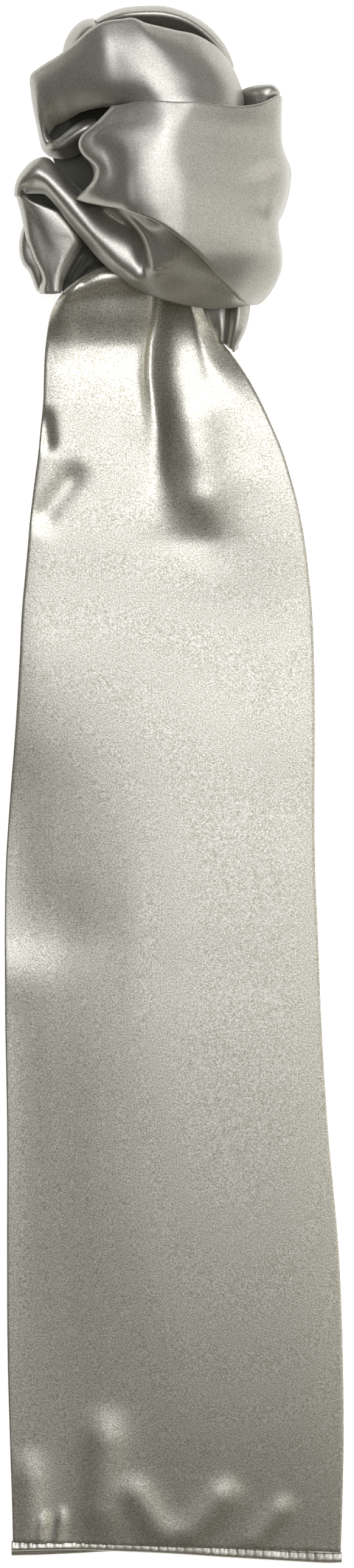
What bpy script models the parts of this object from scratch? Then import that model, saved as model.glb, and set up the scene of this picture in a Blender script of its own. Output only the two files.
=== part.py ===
"""A satin scarf wound into one big loose knot, lying flat on a surface with a long tail.

The scarf is one long tube of satin pressed flat, so every stretch of it is two layers
with a rounded fold along each side. Each stretch that shows is a solid of its own.
Tables are in millimetres and are turned to metres when a mesh is made. Looking down on
the scarf, X runs right, Y runs from the tail's hem up to the knot, and Z is up.
"""

import math
from collections import namedtuple

import bmesh
import bpy
import numpy as np
from mathutils import Matrix, Vector
from mathutils.bvhtree import BVHTree

MM = 0.001

STEP = 8.0                # spacing of mesh points along and across a stretch
STRETCH_HALF = 1.0        # half the thickness of the flattened tube
PANEL_HALF = 0.55         # half the thickness of one panel of the tail
GAP = 0.4                 # clear space between two layers that lie on each other
FAR_BELOW = 12.0          # a layer this far above another isn't covered by it
CUT_GAP = 0.3             # clear space left where one layer is cut by its neighbour
FADE = 0.25               # share of a fold's length over which each end dies away
FAINT = 0.15              # share of a fold's height that is left at its very end
LEAST_DROP = 0.5          # a side that turns under goes down at least this far
BULGED = 1.15             # how much longer a stretch's section is than its width
BELOW_ALL, ABOVE_ALL = -50.0, 200.0

# Tones of the satin, from the turns that face up to the ones deep inside the knot.
BRIGHT = (0.52, 0.52, 0.45)
SILVER = (0.45, 0.45, 0.38)
SHADED = (0.36, 0.36, 0.30)
DARK = (0.20, 0.20, 0.16)

# A section runs across a stretch: its left end, middle and right end in plan, then the
# heights of its middle surface at even steps from left to right.
Section = namedtuple("Section", "left middle right heights")

# A side that turns under: how far down it goes, how far in, and the lowest it may reach.
Turn = namedtuple("Turn", "depth inward floor")

# A fold line in plan: ridge where height is positive, trough where it is negative.
Fold = namedtuple("Fold", "path width height")


def spline(rows, places):
    """Values read off the smooth curve that passes through each row, at row numbers."""
    rows = np.asarray(rows, float)
    places = np.clip(np.asarray(places, float), 0.0, len(rows) - 1.0)
    padded = np.vstack([2 * rows[0] - rows[1], rows, 2 * rows[-1] - rows[-2]])
    first = np.minimum(places.astype(int), len(rows) - 2)
    t = (places - first)[:, None]
    before, start, end, after = (padded[first + k] for k in range(4))
    return start + 0.5 * t * (
        end - before + t * (2 * before - 5 * start + 4 * end - after
                            + t * (3 * (start - end) + after - before)))


def section_table(sections):
    """One row of numbers for each section; a missing middle is half way along."""
    table = []
    for section in sections:
        left, right = np.array(section.left), np.array(section.right)
        middle = (left + right) / 2 if section.middle is None else np.array(section.middle)
        table.append(np.concatenate([left, middle, right, section.heights]))
    return np.array(table, float)


def crowd(u, turned_left, turned_right):
    """Even steps, drawn together towards a side that turns under, so that it is round."""
    if turned_left and turned_right:
        return 0.5 - 0.5 * np.cos(math.pi * u)
    if turned_right:
        return u + u ** 3 - u ** 4
    if turned_left:
        return 1 - crowd(1 - u, False, True)
    return u


def fold_heights(plan, folds):
    """Rise and fall that the fold lines give to each plan point."""
    rise = np.zeros(plan.shape[:-1])
    for fold in folds:
        path = spline(fold.path, np.linspace(0, len(fold.path) - 1, 8 * len(fold.path)))
        best = np.full(rise.shape, np.inf)
        place = np.zeros(rise.shape)
        for k, (start, end) in enumerate(zip(path[:-1], path[1:])):
            run = end - start
            t = np.clip(((plan - start) @ run) / (run @ run), 0, 1)
            away = np.linalg.norm(plan - start - t[..., None] * run, axis=-1)
            nearer = away < best
            best = np.where(nearer, away, best)
            place = np.where(nearer, (k + t) / (len(path) - 1), place)
        fade = np.clip(np.minimum(place, 1 - place) / FADE, 0, 1)
        strength = FAINT + (1 - FAINT) * fade * fade * (3 - 2 * fade)
        rise += fold.height * strength * np.exp(-(best / fold.width) ** 2)
    return rise


def surface(sections, half, steps, folds, turn_left, turn_right):
    """Grid of points on a stretch's middle surface, rows along it and columns across."""
    table = section_table(sections)
    rows = len(table)
    spans = np.linalg.norm(np.diff(table[:, 2:4], axis=0), axis=1)
    widths = np.linalg.norm(table[:, 4:6] - table[:, 0:2], axis=1)
    step, step_across = steps
    along = max(3, int(round(spans.sum() / step)) + 1)
    across = max(4, int(round(BULGED * widths.max() / step_across)) + 1)
    places = np.linspace(half / spans[0], rows - 1 - half / spans[-1], along)
    table = spline(table, places)
    left, middle, right, heights = table[:, 0:2], table[:, 2:4], table[:, 4:6], table[:, 6:]
    widths = np.linalg.norm(right - left, axis=1)
    inset = np.minimum(half / widths, 0.2)[:, None]
    u = np.linspace(0, 1, across)
    f = inset + (1 - 2 * inset) * crowd(u, turn_left, turn_right)[None, :]
    plan = (((1 - f) * (1 - 2 * f))[..., None] * left[:, None]
            + (4 * f * (1 - f))[..., None] * middle[:, None]
            + (f * (2 * f - 1))[..., None] * right[:, None])
    z = spline(heights.T, u * (heights.shape[1] - 1)).T + fold_heights(plan, folds)
    points = np.dstack([plan, z])
    if turn_left:
        points = np.concatenate([turned(points[:, :2], turn_left, step_across)[:, ::-1], points], 1)
    if turn_right:
        points = np.concatenate([points, turned(points[:, :-3:-1], turn_right, step_across)], 1)
    return points


def turned(edge, turn, step):
    """Columns that carry a side on round and under, from its last two columns."""
    side, inner = edge[:, 0], edge[:, 1]
    inward = inner[:, :2] - side[:, :2]
    inward /= np.linalg.norm(inward, axis=1)[:, None]
    lowest = np.maximum(side[:, 2] - turn.depth, turn.floor)
    drop = np.maximum(side[:, 2] - lowest, LEAST_DROP)
    count = max(2, int(round(BULGED * turn.depth / step)))
    columns = []
    for angle in np.linspace(0, math.pi / 2, count + 1)[1:]:
        plan = side[:, :2] + inward * turn.inward * (1 - math.cos(angle))
        z = side[:, 2] - drop * math.sin(angle)
        columns.append(np.column_stack([plan, z]))
    return np.stack(columns, axis=1)


def underside(cover, x, y, inside):
    """Height of a cover's underside over a plan point, or None beside the cover.

    A layer inside the cover's turned sides lies under its upper sheet. Any other layer
    lies under the lowest part of it.
    """
    up, down = Vector((0, 0, 1)), Vector((0, 0, -1))
    if not inside:
        lowest = cover.ray_cast(Vector((x, y, BELOW_ALL)), up)[0]
        return None if lowest is None else lowest.z
    upper = cover.ray_cast(Vector((x, y, ABOVE_ALL)), down)[0]
    if upper is None:
        return None
    lower = cover.ray_cast(upper + down * MM, down)[0]
    return upper.z if lower is None else lower.z


def press_under(points, covers, clearance, floor, reach, inside):
    """Lower the points that lie below a cover, until they clear its underside."""
    ring = [(0.0, 0.0)]
    for share in (0.5, 1.0):
        ring += [(share * reach * math.cos(a), share * reach * math.sin(a))
                 for a in np.linspace(0, 2 * math.pi, 8, endpoint=False)]
    for point in points.reshape(-1, 3):
        for cover in covers:
            for dx, dy in ring:
                height = underside(cover, point[0] + dx, point[1] + dy, inside)
                if height is not None and (height > point[2] - FAR_BELOW or not inside):
                    point[2] = min(point[2], height - clearance)
        point[2] = max(point[2], floor)


def border(rows, columns):
    """Row and column of each point round the edge of a grid, in order."""
    return ([(0, j) for j in range(columns)]
            + [(i, columns - 1) for i in range(1, rows)]
            + [(rows - 1, j) for j in range(columns - 2, -1, -1)]
            + [(i, 0) for i in range(rows - 2, 0, -1)])


def unit(vectors):
    return vectors / np.maximum(np.linalg.norm(vectors, axis=-1, keepdims=True), 1e-9)


def edge_frames(points):
    """Normals of a grid, its border in order and the outward direction at the border."""
    across, along = np.gradient(points, axis=1), np.gradient(points, axis=0)
    normals = unit(np.cross(across, along))
    if normals[..., 2].mean() < 0:
        normals = -normals
    rows, columns = points.shape[:2]
    loop = border(rows, columns)
    outward = []
    for i, j in loop:
        way = np.zeros(3)
        if j in (0, columns - 1):
            way += unit(across[i, j]) * (1 if j else -1)
        if i in (0, rows - 1):
            way += unit(along[i, j]) * (1 if i else -1)
        way -= normals[i, j] * (way @ normals[i, j])
        outward.append(unit(way))
    return normals, loop, np.array(outward)


def closed_body(top, bottom, loop, rings):
    """Vertices and faces of a body with a top grid, a bottom grid and rings between."""
    rows, columns = top.shape[:2]
    count = rows * columns
    verts = np.vstack([top.reshape(-1, 3), bottom.reshape(-1, 3)] + rings)
    faces = []
    for i in range(rows - 1):
        for j in range(columns - 1):
            a = i * columns + j
            quad = (a, a + 1, a + columns + 1, a + columns)
            faces.append(quad)
            faces.append(tuple(count + k for k in reversed(quad)))
    edge = [i * columns + j for i, j in loop]
    levels = [edge]
    for number in range(len(rings)):
        levels.append([2 * count + number * len(loop) + k for k in range(len(loop))])
    levels.append([count + k for k in edge])
    for upper, lower in zip(levels[:-1], levels[1:]):
        for k in range(len(loop)):
            nxt = (k + 1) % len(loop)
            faces.append((upper[nxt], upper[k], lower[k], lower[nxt]))
    return verts, faces


def slab(points, half, arc_steps=2):
    """A layer of even thickness about a grid, with a round fold along its border."""
    normals, loop, outward = edge_frames(points)
    picked = tuple(np.array(loop).T)
    rings = []
    for k in range(1, arc_steps):
        angle = math.pi * k / arc_steps
        rings.append(points[picked] + half * (math.sin(angle) * outward
                                              + math.cos(angle) * normals[picked]))
    return closed_body(points + half * normals, points - half * normals, loop, rings)


def satin(name, colour):
    """Satin in one colour: smooth threads floated over the cloth, so it shines."""
    material = bpy.data.materials.new(name)
    material.use_nodes = True
    shader = material.node_tree.nodes["Principled BSDF"]
    shader.inputs["Base Color"].default_value = (*colour, 1.0)
    shader.inputs["Roughness"].default_value = 0.35
    shader.inputs["Metallic"].default_value = 0.6
    material.diffuse_color = (*colour, 1.0)
    return material


def add_object(name, verts, faces, colour):
    """A mesh object in metres with its faces pointing out, shaded smooth."""
    mesh = bpy.data.meshes.new(name)
    mesh.from_pydata((np.asarray(verts) * MM).tolist(), [], faces)
    work = bmesh.new()
    work.from_mesh(mesh)
    if work.calc_volume(signed=True) < 0:
        bmesh.ops.reverse_faces(work, faces=work.faces)
    work.to_mesh(mesh)
    work.free()
    mesh.shade_smooth()
    mesh.materials.append(satin(f"{name}_satin", colour))
    thing = bpy.data.objects.new(name, mesh)
    bpy.context.scene.collection.objects.link(thing)
    return thing, BVHTree.FromPolygons([Vector(v) for v in verts], faces)


def stretch(name, sections, colour, half=STRETCH_HALF, folds=(), covers=(), floor=None,
            turn_left=None, turn_right=None, steps=(STEP, STEP), reach=None, inside=False):
    """Make one stretch of the scarf, pressed under the stretches that cover it."""
    points = surface([Section(*row) for row in sections], half, steps,
                     [Fold(*row) for row in folds], turn_left, turn_right)
    press_under(points, covers, half + GAP, floor or half,
                min(steps) if reach is None else reach, inside)
    cutter = add_object(f"{name}_clearance", *slab(points, half + CUT_GAP), colour)[0]
    cutter.hide_render = True
    cutter.display_type = "WIRE"
    return add_object(name, *slab(points, half), colour)[1]


def cut_clear(name, *neighbours):
    """Cut a piece back wherever a neighbour, with its clearance, would touch it."""
    for neighbour in neighbours:
        cut = bpy.data.objects[name].modifiers.new(f"clear_{neighbour}", "BOOLEAN")
        cut.operation = "DIFFERENCE"
        cut.solver = "MANIFOLD"
        cut.object = bpy.data.objects[f"{neighbour}_clearance"]


# --- The knot's front ---------------------------------------------------------------

def front_wrap():
    """The broad turn over the knot's front. Its right side goes round to the table."""
    sections = (
        # left            middle          right           heights
        ((-30, 327.5), (22, 327), (47, 331), (48, 57, 51, 40, 31)),
        ((-41, 316.5), None, (50.5, 318), (46, 59, 60, 43, 22)),
        ((-46.5, 309), None, (50, 309), (43, 60, 62, 45, 21)),
        ((-40.5, 300), None, (54, 300), (46, 62.5, 62, 42.5, 19)),
        ((-41.5, 294), None, (55, 291.5), (45, 63, 63, 43, 19)),
        ((-47, 284.5), (5, 280), (53.5, 283), (43, 61.5, 64, 45, 19)),
        ((-37, 279.3), (10, 270), (50, 273), (50, 63.5, 62.5, 43.5, 19)),
        ((-24.4, 276.3), (14, 262), (47.7, 267), (57, 63.5, 60, 42, 20)),
        ((-10.6, 269.8), (22, 255), (49.5, 261), (59.5, 61.5, 54.5, 38, 19)),
        ((4, 261), (28, 248), (51, 254), (57, 56.5, 49, 33.5, 18)),
        ((15.6, 248.5), (34, 241.5), (50, 246.5), (50, 48, 42.5, 29.5, 17)),
        ((25, 238.8), (37, 235.5), (46.5, 238), (39.5, 38, 34.5, 26, 16)),
        ((30, 234), (36, 232.3), (41.5, 232.6), (28, 27.5, 25, 20, 14)),
    )
    folds = (
        # path                                                    width  height
        (((-40, 311), (-31, 304), (-28.5, 299), (-31, 292), (-36, 285)), 4.0, 1.6),
        (((-34, 318), (-26, 308), (-23.5, 298), (-26, 286)), 3.0, -1.4),
        (((48, 269), (45, 259), (46.5, 247)), 2.5, -1.5),
    )
    return stretch("front_wrap", sections, SILVER, folds=folds,
                   turn_right=Turn(40, 8, 1.1))


def sash(covers):
    """The band under the wrap. It rises to the left as a roll and ends in a hood."""
    sections = (
        # left            middle          right           heights
        ((31, 230.3), None, (31, 239), (18, 21, 23, 24, 24)),
        ((25, 229.7), None, (26, 247), (19, 28, 34, 36, 36)),
        ((16, 229.2), None, (17, 257), (21, 34, 41, 44, 45)),
        ((4, 231), None, (7, 266), (22, 37, 45, 49, 50)),
        ((-6, 233), None, (-3, 273), (23, 38, 46, 49, 50)),
        ((-14, 235.6), None, (-13, 279), (24, 39, 42, 40, 40)),
        ((-22, 239), None, (-23, 283), (26, 41, 38, 33, 34)),
        ((-30, 244.5), None, (-33, 284), (26, 43, 42, 33, 30)),
        ((-38, 252.5), None, (-42, 281), (27, 42, 48, 40, 30)),
        ((-46, 262.5), None, (-47.5, 282), (28, 42, 48, 43, 30)),
        ((-52, 270.5), None, (-51.5, 286), (29, 42, 48, 44, 30)),
        ((-57, 278), None, (-55.5, 292), (28, 40, 47, 42, 28)),
        ((-61, 284), None, (-58.5, 298), (26, 37, 45, 40, 26)),
        ((-64, 287.5), None, (-62, 302), (24, 34, 43, 36, 20)),
        ((-67, 289.5), None, (-69, 299.7), (22, 32, 41, 34, 18)),
        ((-70.5, 289), None, (-75, 294), (21, 30, 38, 33, 17)),
        ((-72.5, 286.5), None, (-78, 287), (21, 29, 36, 32, 17)),
        ((-72, 283.5), None, (-76.8, 281.5), (22, 28, 33, 29, 17)),
    )
    folds = (
        # path                                                    width  height
        (((-27, 276), (-21, 271.5), (-16, 265.5), (-13, 258), (-12.4, 252), (-14, 246.5),
          (-18, 243.2)), 1.8, 4.5),
        (((-34, 274), (-25, 267.5), (-19.5, 259.5), (-17.5, 251)), 3.4, -7.0),
        (((-22, 246), (-32, 259), (-42, 270), (-52, 281), (-60, 290.5), (-67, 296),
          (-74, 292.5), (-77, 287.5)), 2.2, 1.2),
    )
    return stretch("sash", sections, SHADED, folds=folds, covers=covers,
                   turn_left=Turn(8, 4, 6), steps=(6.0, 5.5), reach=4.0, inside=True)


# --- The knot's top -----------------------------------------------------------------

def crown(covers):
    """The wide turn over the knot's top, from the left point to the right shoulder."""
    sections = (
        # left            middle          right           heights
        ((-70, 342), (-20, 370), (28, 345.5), (20, 24, 33, 38, 37, 31, 26)),
        ((-70.5, 339), (-19, 358), (30.5, 340), (21, 27, 41, 47, 45.5, 38, 27)),
        ((-70.3, 333), (-18, 346), (32, 334), (21, 28, 42.5, 50.5, 49, 41, 27)),
        ((-69.5, 326), (-20, 336), (32.5, 329), (20, 27, 42, 51.5, 50, 42, 28)),
        ((-68, 319), (-30, 329), (32, 324.5), (18, 23, 34, 44, 50.5, 44, 29)),
        ((-65, 311.5), (-38, 325.5), (31, 320), (15, 18, 24, 32, 49, 46, 30)),
    )
    folds = (
        (((-52, 334), (-36, 334), (-22, 331.5), (-14, 327)), 3.0, -3.0),
    )
    return stretch("crown", sections, BRIGHT, folds=folds, covers=covers,
                   turn_left=Turn(10, 4, 4), turn_right=Turn(14, 4, 8))


def crown_curl(covers):
    """The crown's lower left side, rolled up into a lip that hides behind the wrap."""
    sections = (
        # left            middle          right           heights
        ((-68.5, 321), None, (-61, 321), (13, 17, 19, 20, 18)),
        ((-66.5, 312), None, (-60.5, 314), (12, 18, 22, 24, 23)),
        ((-64.5, 306), None, (-60, 311), (11, 19, 24, 27, 27)),
        ((-59, 302), None, (-55, 312), (10, 20, 26, 30, 30)),
        ((-53, 301), None, (-50, 316), (10, 20, 27, 31, 31)),
        ((-47, 302.5), None, (-45, 320), (12, 22, 28, 32, 32)),
        ((-42, 304), None, (-39, 318), (14, 23, 29, 32, 31)),
    )
    return stretch("crown_curl", sections, SHADED, covers=covers,
                   turn_left=Turn(8, 3, 3))


def rear_rim(covers):
    """The turn that shows behind the crown, as a crescent along its top."""
    sections = (
        # left            middle          right           heights
        ((-37.5, 368.6), None, (-35, 361), (13, 25, 26, 22, 19)),
        ((-33, 371), None, (-31, 362), (13, 28, 28, 24, 20)),
        ((-25, 373.4), None, (-24, 362), (13, 30, 29, 24, 20)),
        ((-12, 374.8), None, (-13, 360), (13, 31, 29, 24, 20)),
        ((0, 373.2), None, (-3, 358), (13, 31, 29, 24, 20)),
        ((10, 368.8), None, (6, 356), (13, 30, 28, 23, 20)),
        ((18, 362.8), None, (14, 353), (12, 27, 26, 22, 19)),
        ((24, 355.2), None, (20, 349), (12, 23, 23, 21, 18)),
        ((28, 346), None, (24, 344), (11, 18, 19, 18, 17)),
    )
    return stretch("rear_rim", sections, SILVER, covers=covers,
                   turn_left=Turn(12, 5, 1.1))


def back_lobe(covers):
    """A short loop that shows behind the crown's upper left side."""
    sections = (
        # left            middle          right           heights
        ((-55, 352.5), None, (-50, 350), (9, 17, 21, 24, 26)),
        ((-53.8, 358.5), None, (-46, 353), (10, 21, 25, 27, 28)),
        ((-50.6, 363.8), None, (-43, 356), (10, 22, 26, 28, 30)),
        ((-46, 367.8), None, (-41, 359), (10, 20, 25, 28, 30)),
        ((-37.2, 369.4), None, (-36.4, 362), (9, 18, 24, 27, 28)),
    )
    return stretch("back_lobe", sections, BRIGHT, covers=covers,
                   turn_left=Turn(10, 4, 1.1), steps=(4.5, 4.5), reach=2.0)


def mouth_wall(covers):
    """The far side of the wrap's open mouth, at the knot's top right."""
    sections = (
        # left            middle          right           heights
        ((34.4, 333.6), None, (34.6, 327), (31, 29.5, 28, 26, 24)),
        ((37, 334.5), None, (37.4, 327.4), (32, 30, 28, 26, 24)),
        ((41, 335.4), None, (40.5, 328), (33, 31, 29, 27, 24)),
        ((46, 335.2), None, (44.5, 329), (33, 32, 30, 28, 25)),
        ((48.4, 332.5), None, (46.2, 329.5), (30, 30, 29, 28, 25)),
    )
    return stretch("mouth_wall", sections, SILVER, covers=covers,
                   turn_left=Turn(22, 4, 4), steps=(5.0, 4.0), inside=True)


# --- The knot's left side -----------------------------------------------------------

def fan(covers):
    """The turn that comes out of the roll's hood and fans down to a narrow end."""
    sections = (
        # left            middle          right           heights
        ((-77.2, 284.8), (-66.5, 279.3), (-52, 273), (26, 31, 34, 35, 34)),
        ((-75, 277), (-62, 271), (-47, 266), (22, 28, 31, 35, 26)),
        ((-73, 269), (-60, 264), (-45, 259), (18, 25, 28, 33, 19)),
        ((-71.5, 261), (-59.5, 257), (-47, 254), (15, 21, 24, 27, 13)),
        ((-69, 254), (-59.5, 250.5), (-49.5, 248), (13, 18, 20, 22, 10)),
        ((-66, 247.5), (-59.5, 244.5), (-52, 242.5), (11, 15, 17, 17, 8)),
        ((-65.5, 241), (-60, 239.5), (-53.5, 238.5), (9, 12, 13, 13, 7)),
        ((-66, 235), (-61, 233.8), (-55.3, 235), (5, 7, 8, 8, 5)),
    )
    return stretch("fan", sections, SILVER, covers=covers, steps=(4.6, 4.6))


def hood_inside(covers):
    """The inner side of the roll's hood, seen in the gap above the fan's top edge."""
    sections = (
        # left            middle          right           heights
        ((-76, 289), None, (-75.5, 285), (26, 25, 23, 21, 20)),
        ((-70.5, 294), None, (-70, 279), (34, 27, 20, 14, 11)),
        ((-64, 292), None, (-63, 275), (32, 23, 15, 11, 10)),
        ((-55, 284), None, (-55, 270), (27, 19, 13, 10, 10)),
    )
    return stretch("hood_inside", sections, DARK, covers=covers, steps=(4.0, 4.0))


def fan_back(covers):
    """The fan's back layer, which shows past its left side."""
    sections = (
        # left            middle          right           heights
        ((-73, 268.5), None, (-69, 266), (11, 13, 15, 16, 16)),
        ((-75.6, 263.5), None, (-66, 260), (10, 14, 17, 18, 18)),
        ((-76, 258.5), None, (-64, 255), (9, 13, 15, 16, 16)),
        ((-74.6, 253), None, (-62, 250), (8, 11, 13, 14, 14)),
        ((-71.5, 247), None, (-61, 245), (6, 9, 11, 12, 12)),
        ((-69, 242), None, (-61, 240), (4, 6, 8, 9, 9)),
        ((-67, 236.5), None, (-61, 236), (1.6, 2.5, 3, 3, 3)),
    )
    return stretch("fan_back", sections, SILVER, covers=covers, steps=(4.0, 4.0))


def inner_fold(covers):
    """The dark fold seen between the curl, the wrap and the roll."""
    sections = (
        # left            middle          right           heights
        ((-64, 303), None, (-38, 304), (8, 10, 13, 17, 18)),
        ((-62, 297), None, (-33, 297), (10, 14, 19, 24, 26)),
        ((-58, 290), None, (-34, 289), (11, 17, 23, 28, 30)),
        ((-53, 283), None, (-35, 281), (12, 17, 22, 27, 29)),
    )
    return stretch("inner_fold", sections, DARK, covers=covers, inside=True)


def lower_fold(covers):
    """The dark folds that run from the fan's foot up under the roll."""
    sections = (
        # left            middle          right           heights
        ((-55, 240), None, (-52.5, 236), (5, 5.5, 6, 6, 5.5)),
        ((-52, 249), None, (-44.5, 244), (7, 9, 10, 10, 9)),
        ((-48, 258), None, (-36.5, 249.5), (10, 13, 14, 15, 13)),
        ((-42, 266), None, (-30, 255), (13, 17, 19, 20, 17)),
    )
    return stretch("lower_fold", sections, DARK, covers=covers,
                   steps=(4.0, 4.0))


# --- Under the knot's right side ----------------------------------------------------

def under_layer(covers):
    """The flat layer that comes out under the sash, behind the tail's shoulder."""
    sections = (
        # left            middle          right           heights
        ((-2, 237), None, (27, 237), (10, 10, 10, 10, 9)),
        ((0, 229), None, (26.5, 230), (9, 9.5, 10, 10, 9)),
        ((6, 220), None, (23, 221.5), (8, 8.5, 9, 9, 8)),
        ((13, 213.5), None, (19, 214.5), (7, 7, 7, 7, 7)),
    )
    return stretch("under_layer", sections, DARK, covers=covers, steps=(4.0, 4.0),
                   floor=2.5)


def under_loop(covers):
    """The rolled loop that shows below the wrap's lower right corner."""
    sections = (
        # left            middle          right           heights
        ((20, 237), None, (35.5, 237), (6, 7, 8, 8, 6)),
        ((21, 229), None, (35.6, 230), (6, 8, 8.5, 8.5, 6)),
        ((20.5, 219), None, (33, 219), (5.5, 7.5, 8, 8, 5)),
        ((21, 211), None, (29, 210.5), (4, 5.5, 6, 6, 4.5)),
        ((24, 207), None, (26.8, 206.4), (2.5, 3, 3, 3, 2.5)),
    )
    return stretch("under_loop", sections, SHADED, covers=covers,
                   turn_right=Turn(6, 3, 1.1), steps=(4.0, 4.0),
                   floor=2.5)


# --- The tail -----------------------------------------------------------------------

TAIL_SIDES = (
    # left            middle          right           heights of the front panel
    ((-50, 239), (-26, 252), (2, 242), (8, 14, 17, 16, 12)),
    ((-58, 228.5), (-27, 236), (6, 226), (6, 15, 16.5, 15, 11)),
    ((-62.5, 219), (-24, 221), (17, 215), (5, 12.5, 13, 12, 8)),
    ((-64.5, 204), None, (30, 203), (4, 11.5, 11.5, 11.5, 6)),
    ((-64.8, 190), None, (38.5, 190), (4, 11.5, 11.5, 12.2, 5)),
    ((-66, 172), None, (47, 171.5), (4, 11.2, 11.2, 12.2, 5)),
    ((-68, 154), None, (54, 153.5), (4, 10.9, 10.6, 12, 5)),
    ((-70.5, 134), None, (59, 134), (4, 10.4, 10.2, 11.4, 5)),
    ((-73, 109), None, (63.5, 110), (3.5, 9.7, 9.8, 10.4, 4.5)),
    ((-75, 86), None, (66, 87), (3.2, 9, 9.2, 9.4, 4)),
    ((-76.3, 58), None, (67.2, 55), (3, 8.4, 8.7, 8.9, 4)),
    ((-78.4, 25), None, (67.5, 19), (2.8, 7.2, 8.2, 8.5, 4)),
    ((-81, -7), None, (67.3, -12), (2.6, 5.6, 7.8, 8.2, 4)),
    ((-83.1, -40), None, (67.7, -42), (2.4, 4.4, 7.6, 8.1, 3.6)),
    ((-83.7, -73), None, (69, -73), (2.4, 4, 7.6, 8.1, 3.5)),
    ((-83.4, -112), None, (70.5, -112), (2.4, 4.4, 7.7, 8.2, 3.4)),
    ((-82.5, -165), None, (73.7, -165), (2.4, 4.3, 7.6, 8.2, 3.2)),
    ((-82.5, -229), None, (79.3, -229), (2.3, 4, 7.2, 7.6, 3)),
    ((-82.3, -274), None, (81, -274), (2.3, 3.7, 6.3, 6.8, 2.8)),
    ((-81, -320), None, (81.5, -320), (2.2, 3.3, 5, 5.4, 2.5)),
    ((-80, -350), None, (80.7, -352), (2.2, 2.9, 3.5, 3.6, 2.3)),
    ((-79.6, -366), (-3, -366.6), (80.1, -371), (2.2, 2.6, 2.8, 2.6, 2.2)),
)


def tail_front(covers):
    """The tail's front panel: it rises to a soft crest and runs down to the hem."""
    folds = (
        # path                                                    width  height
        (((-7, 244), (-7, 222), (-6, 208), (-8, 192)), 4.0, -3.5),
        (((-12, 196), (-11, 168), (-4, 140), (8, 122)), 7.0, -2.2),
        (((-65, 184), (-60, 166)), 6.0, -1.5),
        (((-42, 162), (-58, 140), (-74, 112)), 8.0, -1.5),
    )
    return stretch("tail_front", TAIL_SIDES, BRIGHT, half=PANEL_HALF,
                   folds=folds, covers=covers, steps=(24.0, 11.5), reach=5.0,
                   floor=3 * PANEL_HALF + GAP)


def tail_back():
    """The tail's back panel, flat on the surface under the front one."""
    flat = (PANEL_HALF,) * 5
    sections = [((left[0] + 0.4, left[1]), middle, (right[0] - 0.4, right[1]), flat)
                for left, middle, right, _ in TAIL_SIDES[1:]]
    return stretch("tail_back", sections, SHADED, half=PANEL_HALF,
                   steps=(34.0, 60.0))


HEM_DEPTH = 4.4


def hem(name, lower_edge, height, half, colour):
    """A strip turned up along the end of one of the tail's panels and stitched."""
    upper_edge = tuple((x, y + HEM_DEPTH) for x, y in lower_edge)
    heights = (height,) * 3
    sections = (upper_edge + (heights,), lower_edge + (heights,))
    return stretch(name, sections, colour, half=half, steps=(14.0, 30.0))


# --- Hidden layers ------------------------------------------------------------------

CORE_STEP = 10.0
CORE_CLEARANCE = 1.0      # space between the core and the turns that wrap it
CORE_LOWEST = 4.0         # the least height of its top
CORE_EDGE_TOP = 12.0      # the most that its side wall stands
CORE_LAYERS = 4           # layers of cloth that show round its side wall
CORE_RINGS = 8
CORE_BULGE = 2.2          # how far each layer's rounded edge stands out


def core(covers):
    """The knot's hidden turns as one rounded solid, layered round its edge."""
    sections = (
        # left            middle          right           heights
        ((-34, 359), None, (10, 357), (10, 18, 20, 18, 10)),
        ((-44, 350), None, (16, 348), (10, 28, 38, 32, 12)),
        ((-55, 336), None, (20, 336), (12, 32, 50, 42, 12)),
        ((-50, 320), None, (25, 320), (9, 38, 52, 52, 14)),
        ((-44, 304), None, (37, 303), (6, 39, 56, 56, 12)),
        ((-42, 288), None, (38, 288), (6, 39, 56, 58, 12)),
        ((-42, 271), None, (36, 271), (6, 38, 52, 52, 12)),
        ((-38, 257), None, (35, 257), (5, 20, 42, 44, 10)),
        ((-30, 246), None, (29, 246), (4, 10, 26, 28, 8)),
    )
    points = surface([Section(*row) for row in sections], GAP, (CORE_STEP, CORE_STEP), [],
                     None, None)
    press_under(points, covers, CORE_CLEARANCE, CORE_LOWEST, CORE_STEP, True)
    _, loop, outward = edge_frames(points)
    picked = tuple(np.array(loop).T)
    points[picked + (2,)] = np.minimum(points[picked + (2,)], CORE_EDGE_TOP)
    edge = points[picked]
    bottom = points * (1, 1, 0)
    sideways = unit(outward * (1, 1, 0))
    rings = []
    for k in range(1, CORE_RINGS):
        share = k / CORE_RINGS
        push = CORE_BULGE * abs(math.sin(math.pi * share * CORE_LAYERS))
        rings.append(edge * (1, 1, 1 - share) + sideways * push)
    verts, faces = closed_body(points, bottom, loop, rings)
    add_object("core", verts, faces, SHADED)


EYE = (0.3, -0.3)         # the tables' points are as seen from this eye, high above them
EYE_HEIGHT = 5252.0


def stand_on_origin():
    """Bring points in from where they are seen against the table to where they are, and
    move every mesh together, so that the scarf's box stands centred on the origin."""
    things = [o for o in bpy.data.objects if o.type == "MESH"]
    for thing in things:
        for vertex in thing.data.vertices:
            near = 1 - vertex.co.z / MM / EYE_HEIGHT
            vertex.co.x = EYE[0] * MM + (vertex.co.x - EYE[0] * MM) * near
            vertex.co.y = EYE[1] * MM + (vertex.co.y - EYE[1] * MM) * near
    places = np.array([v.co for o in things if not o.hide_render for v in o.data.vertices])
    low, high = places.min(axis=0), places.max(axis=0)
    middle = (low + high) / 2
    for thing in things:
        thing.data.transform(Matrix.Translation((-middle[0], -middle[1], -low[2])))


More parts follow.
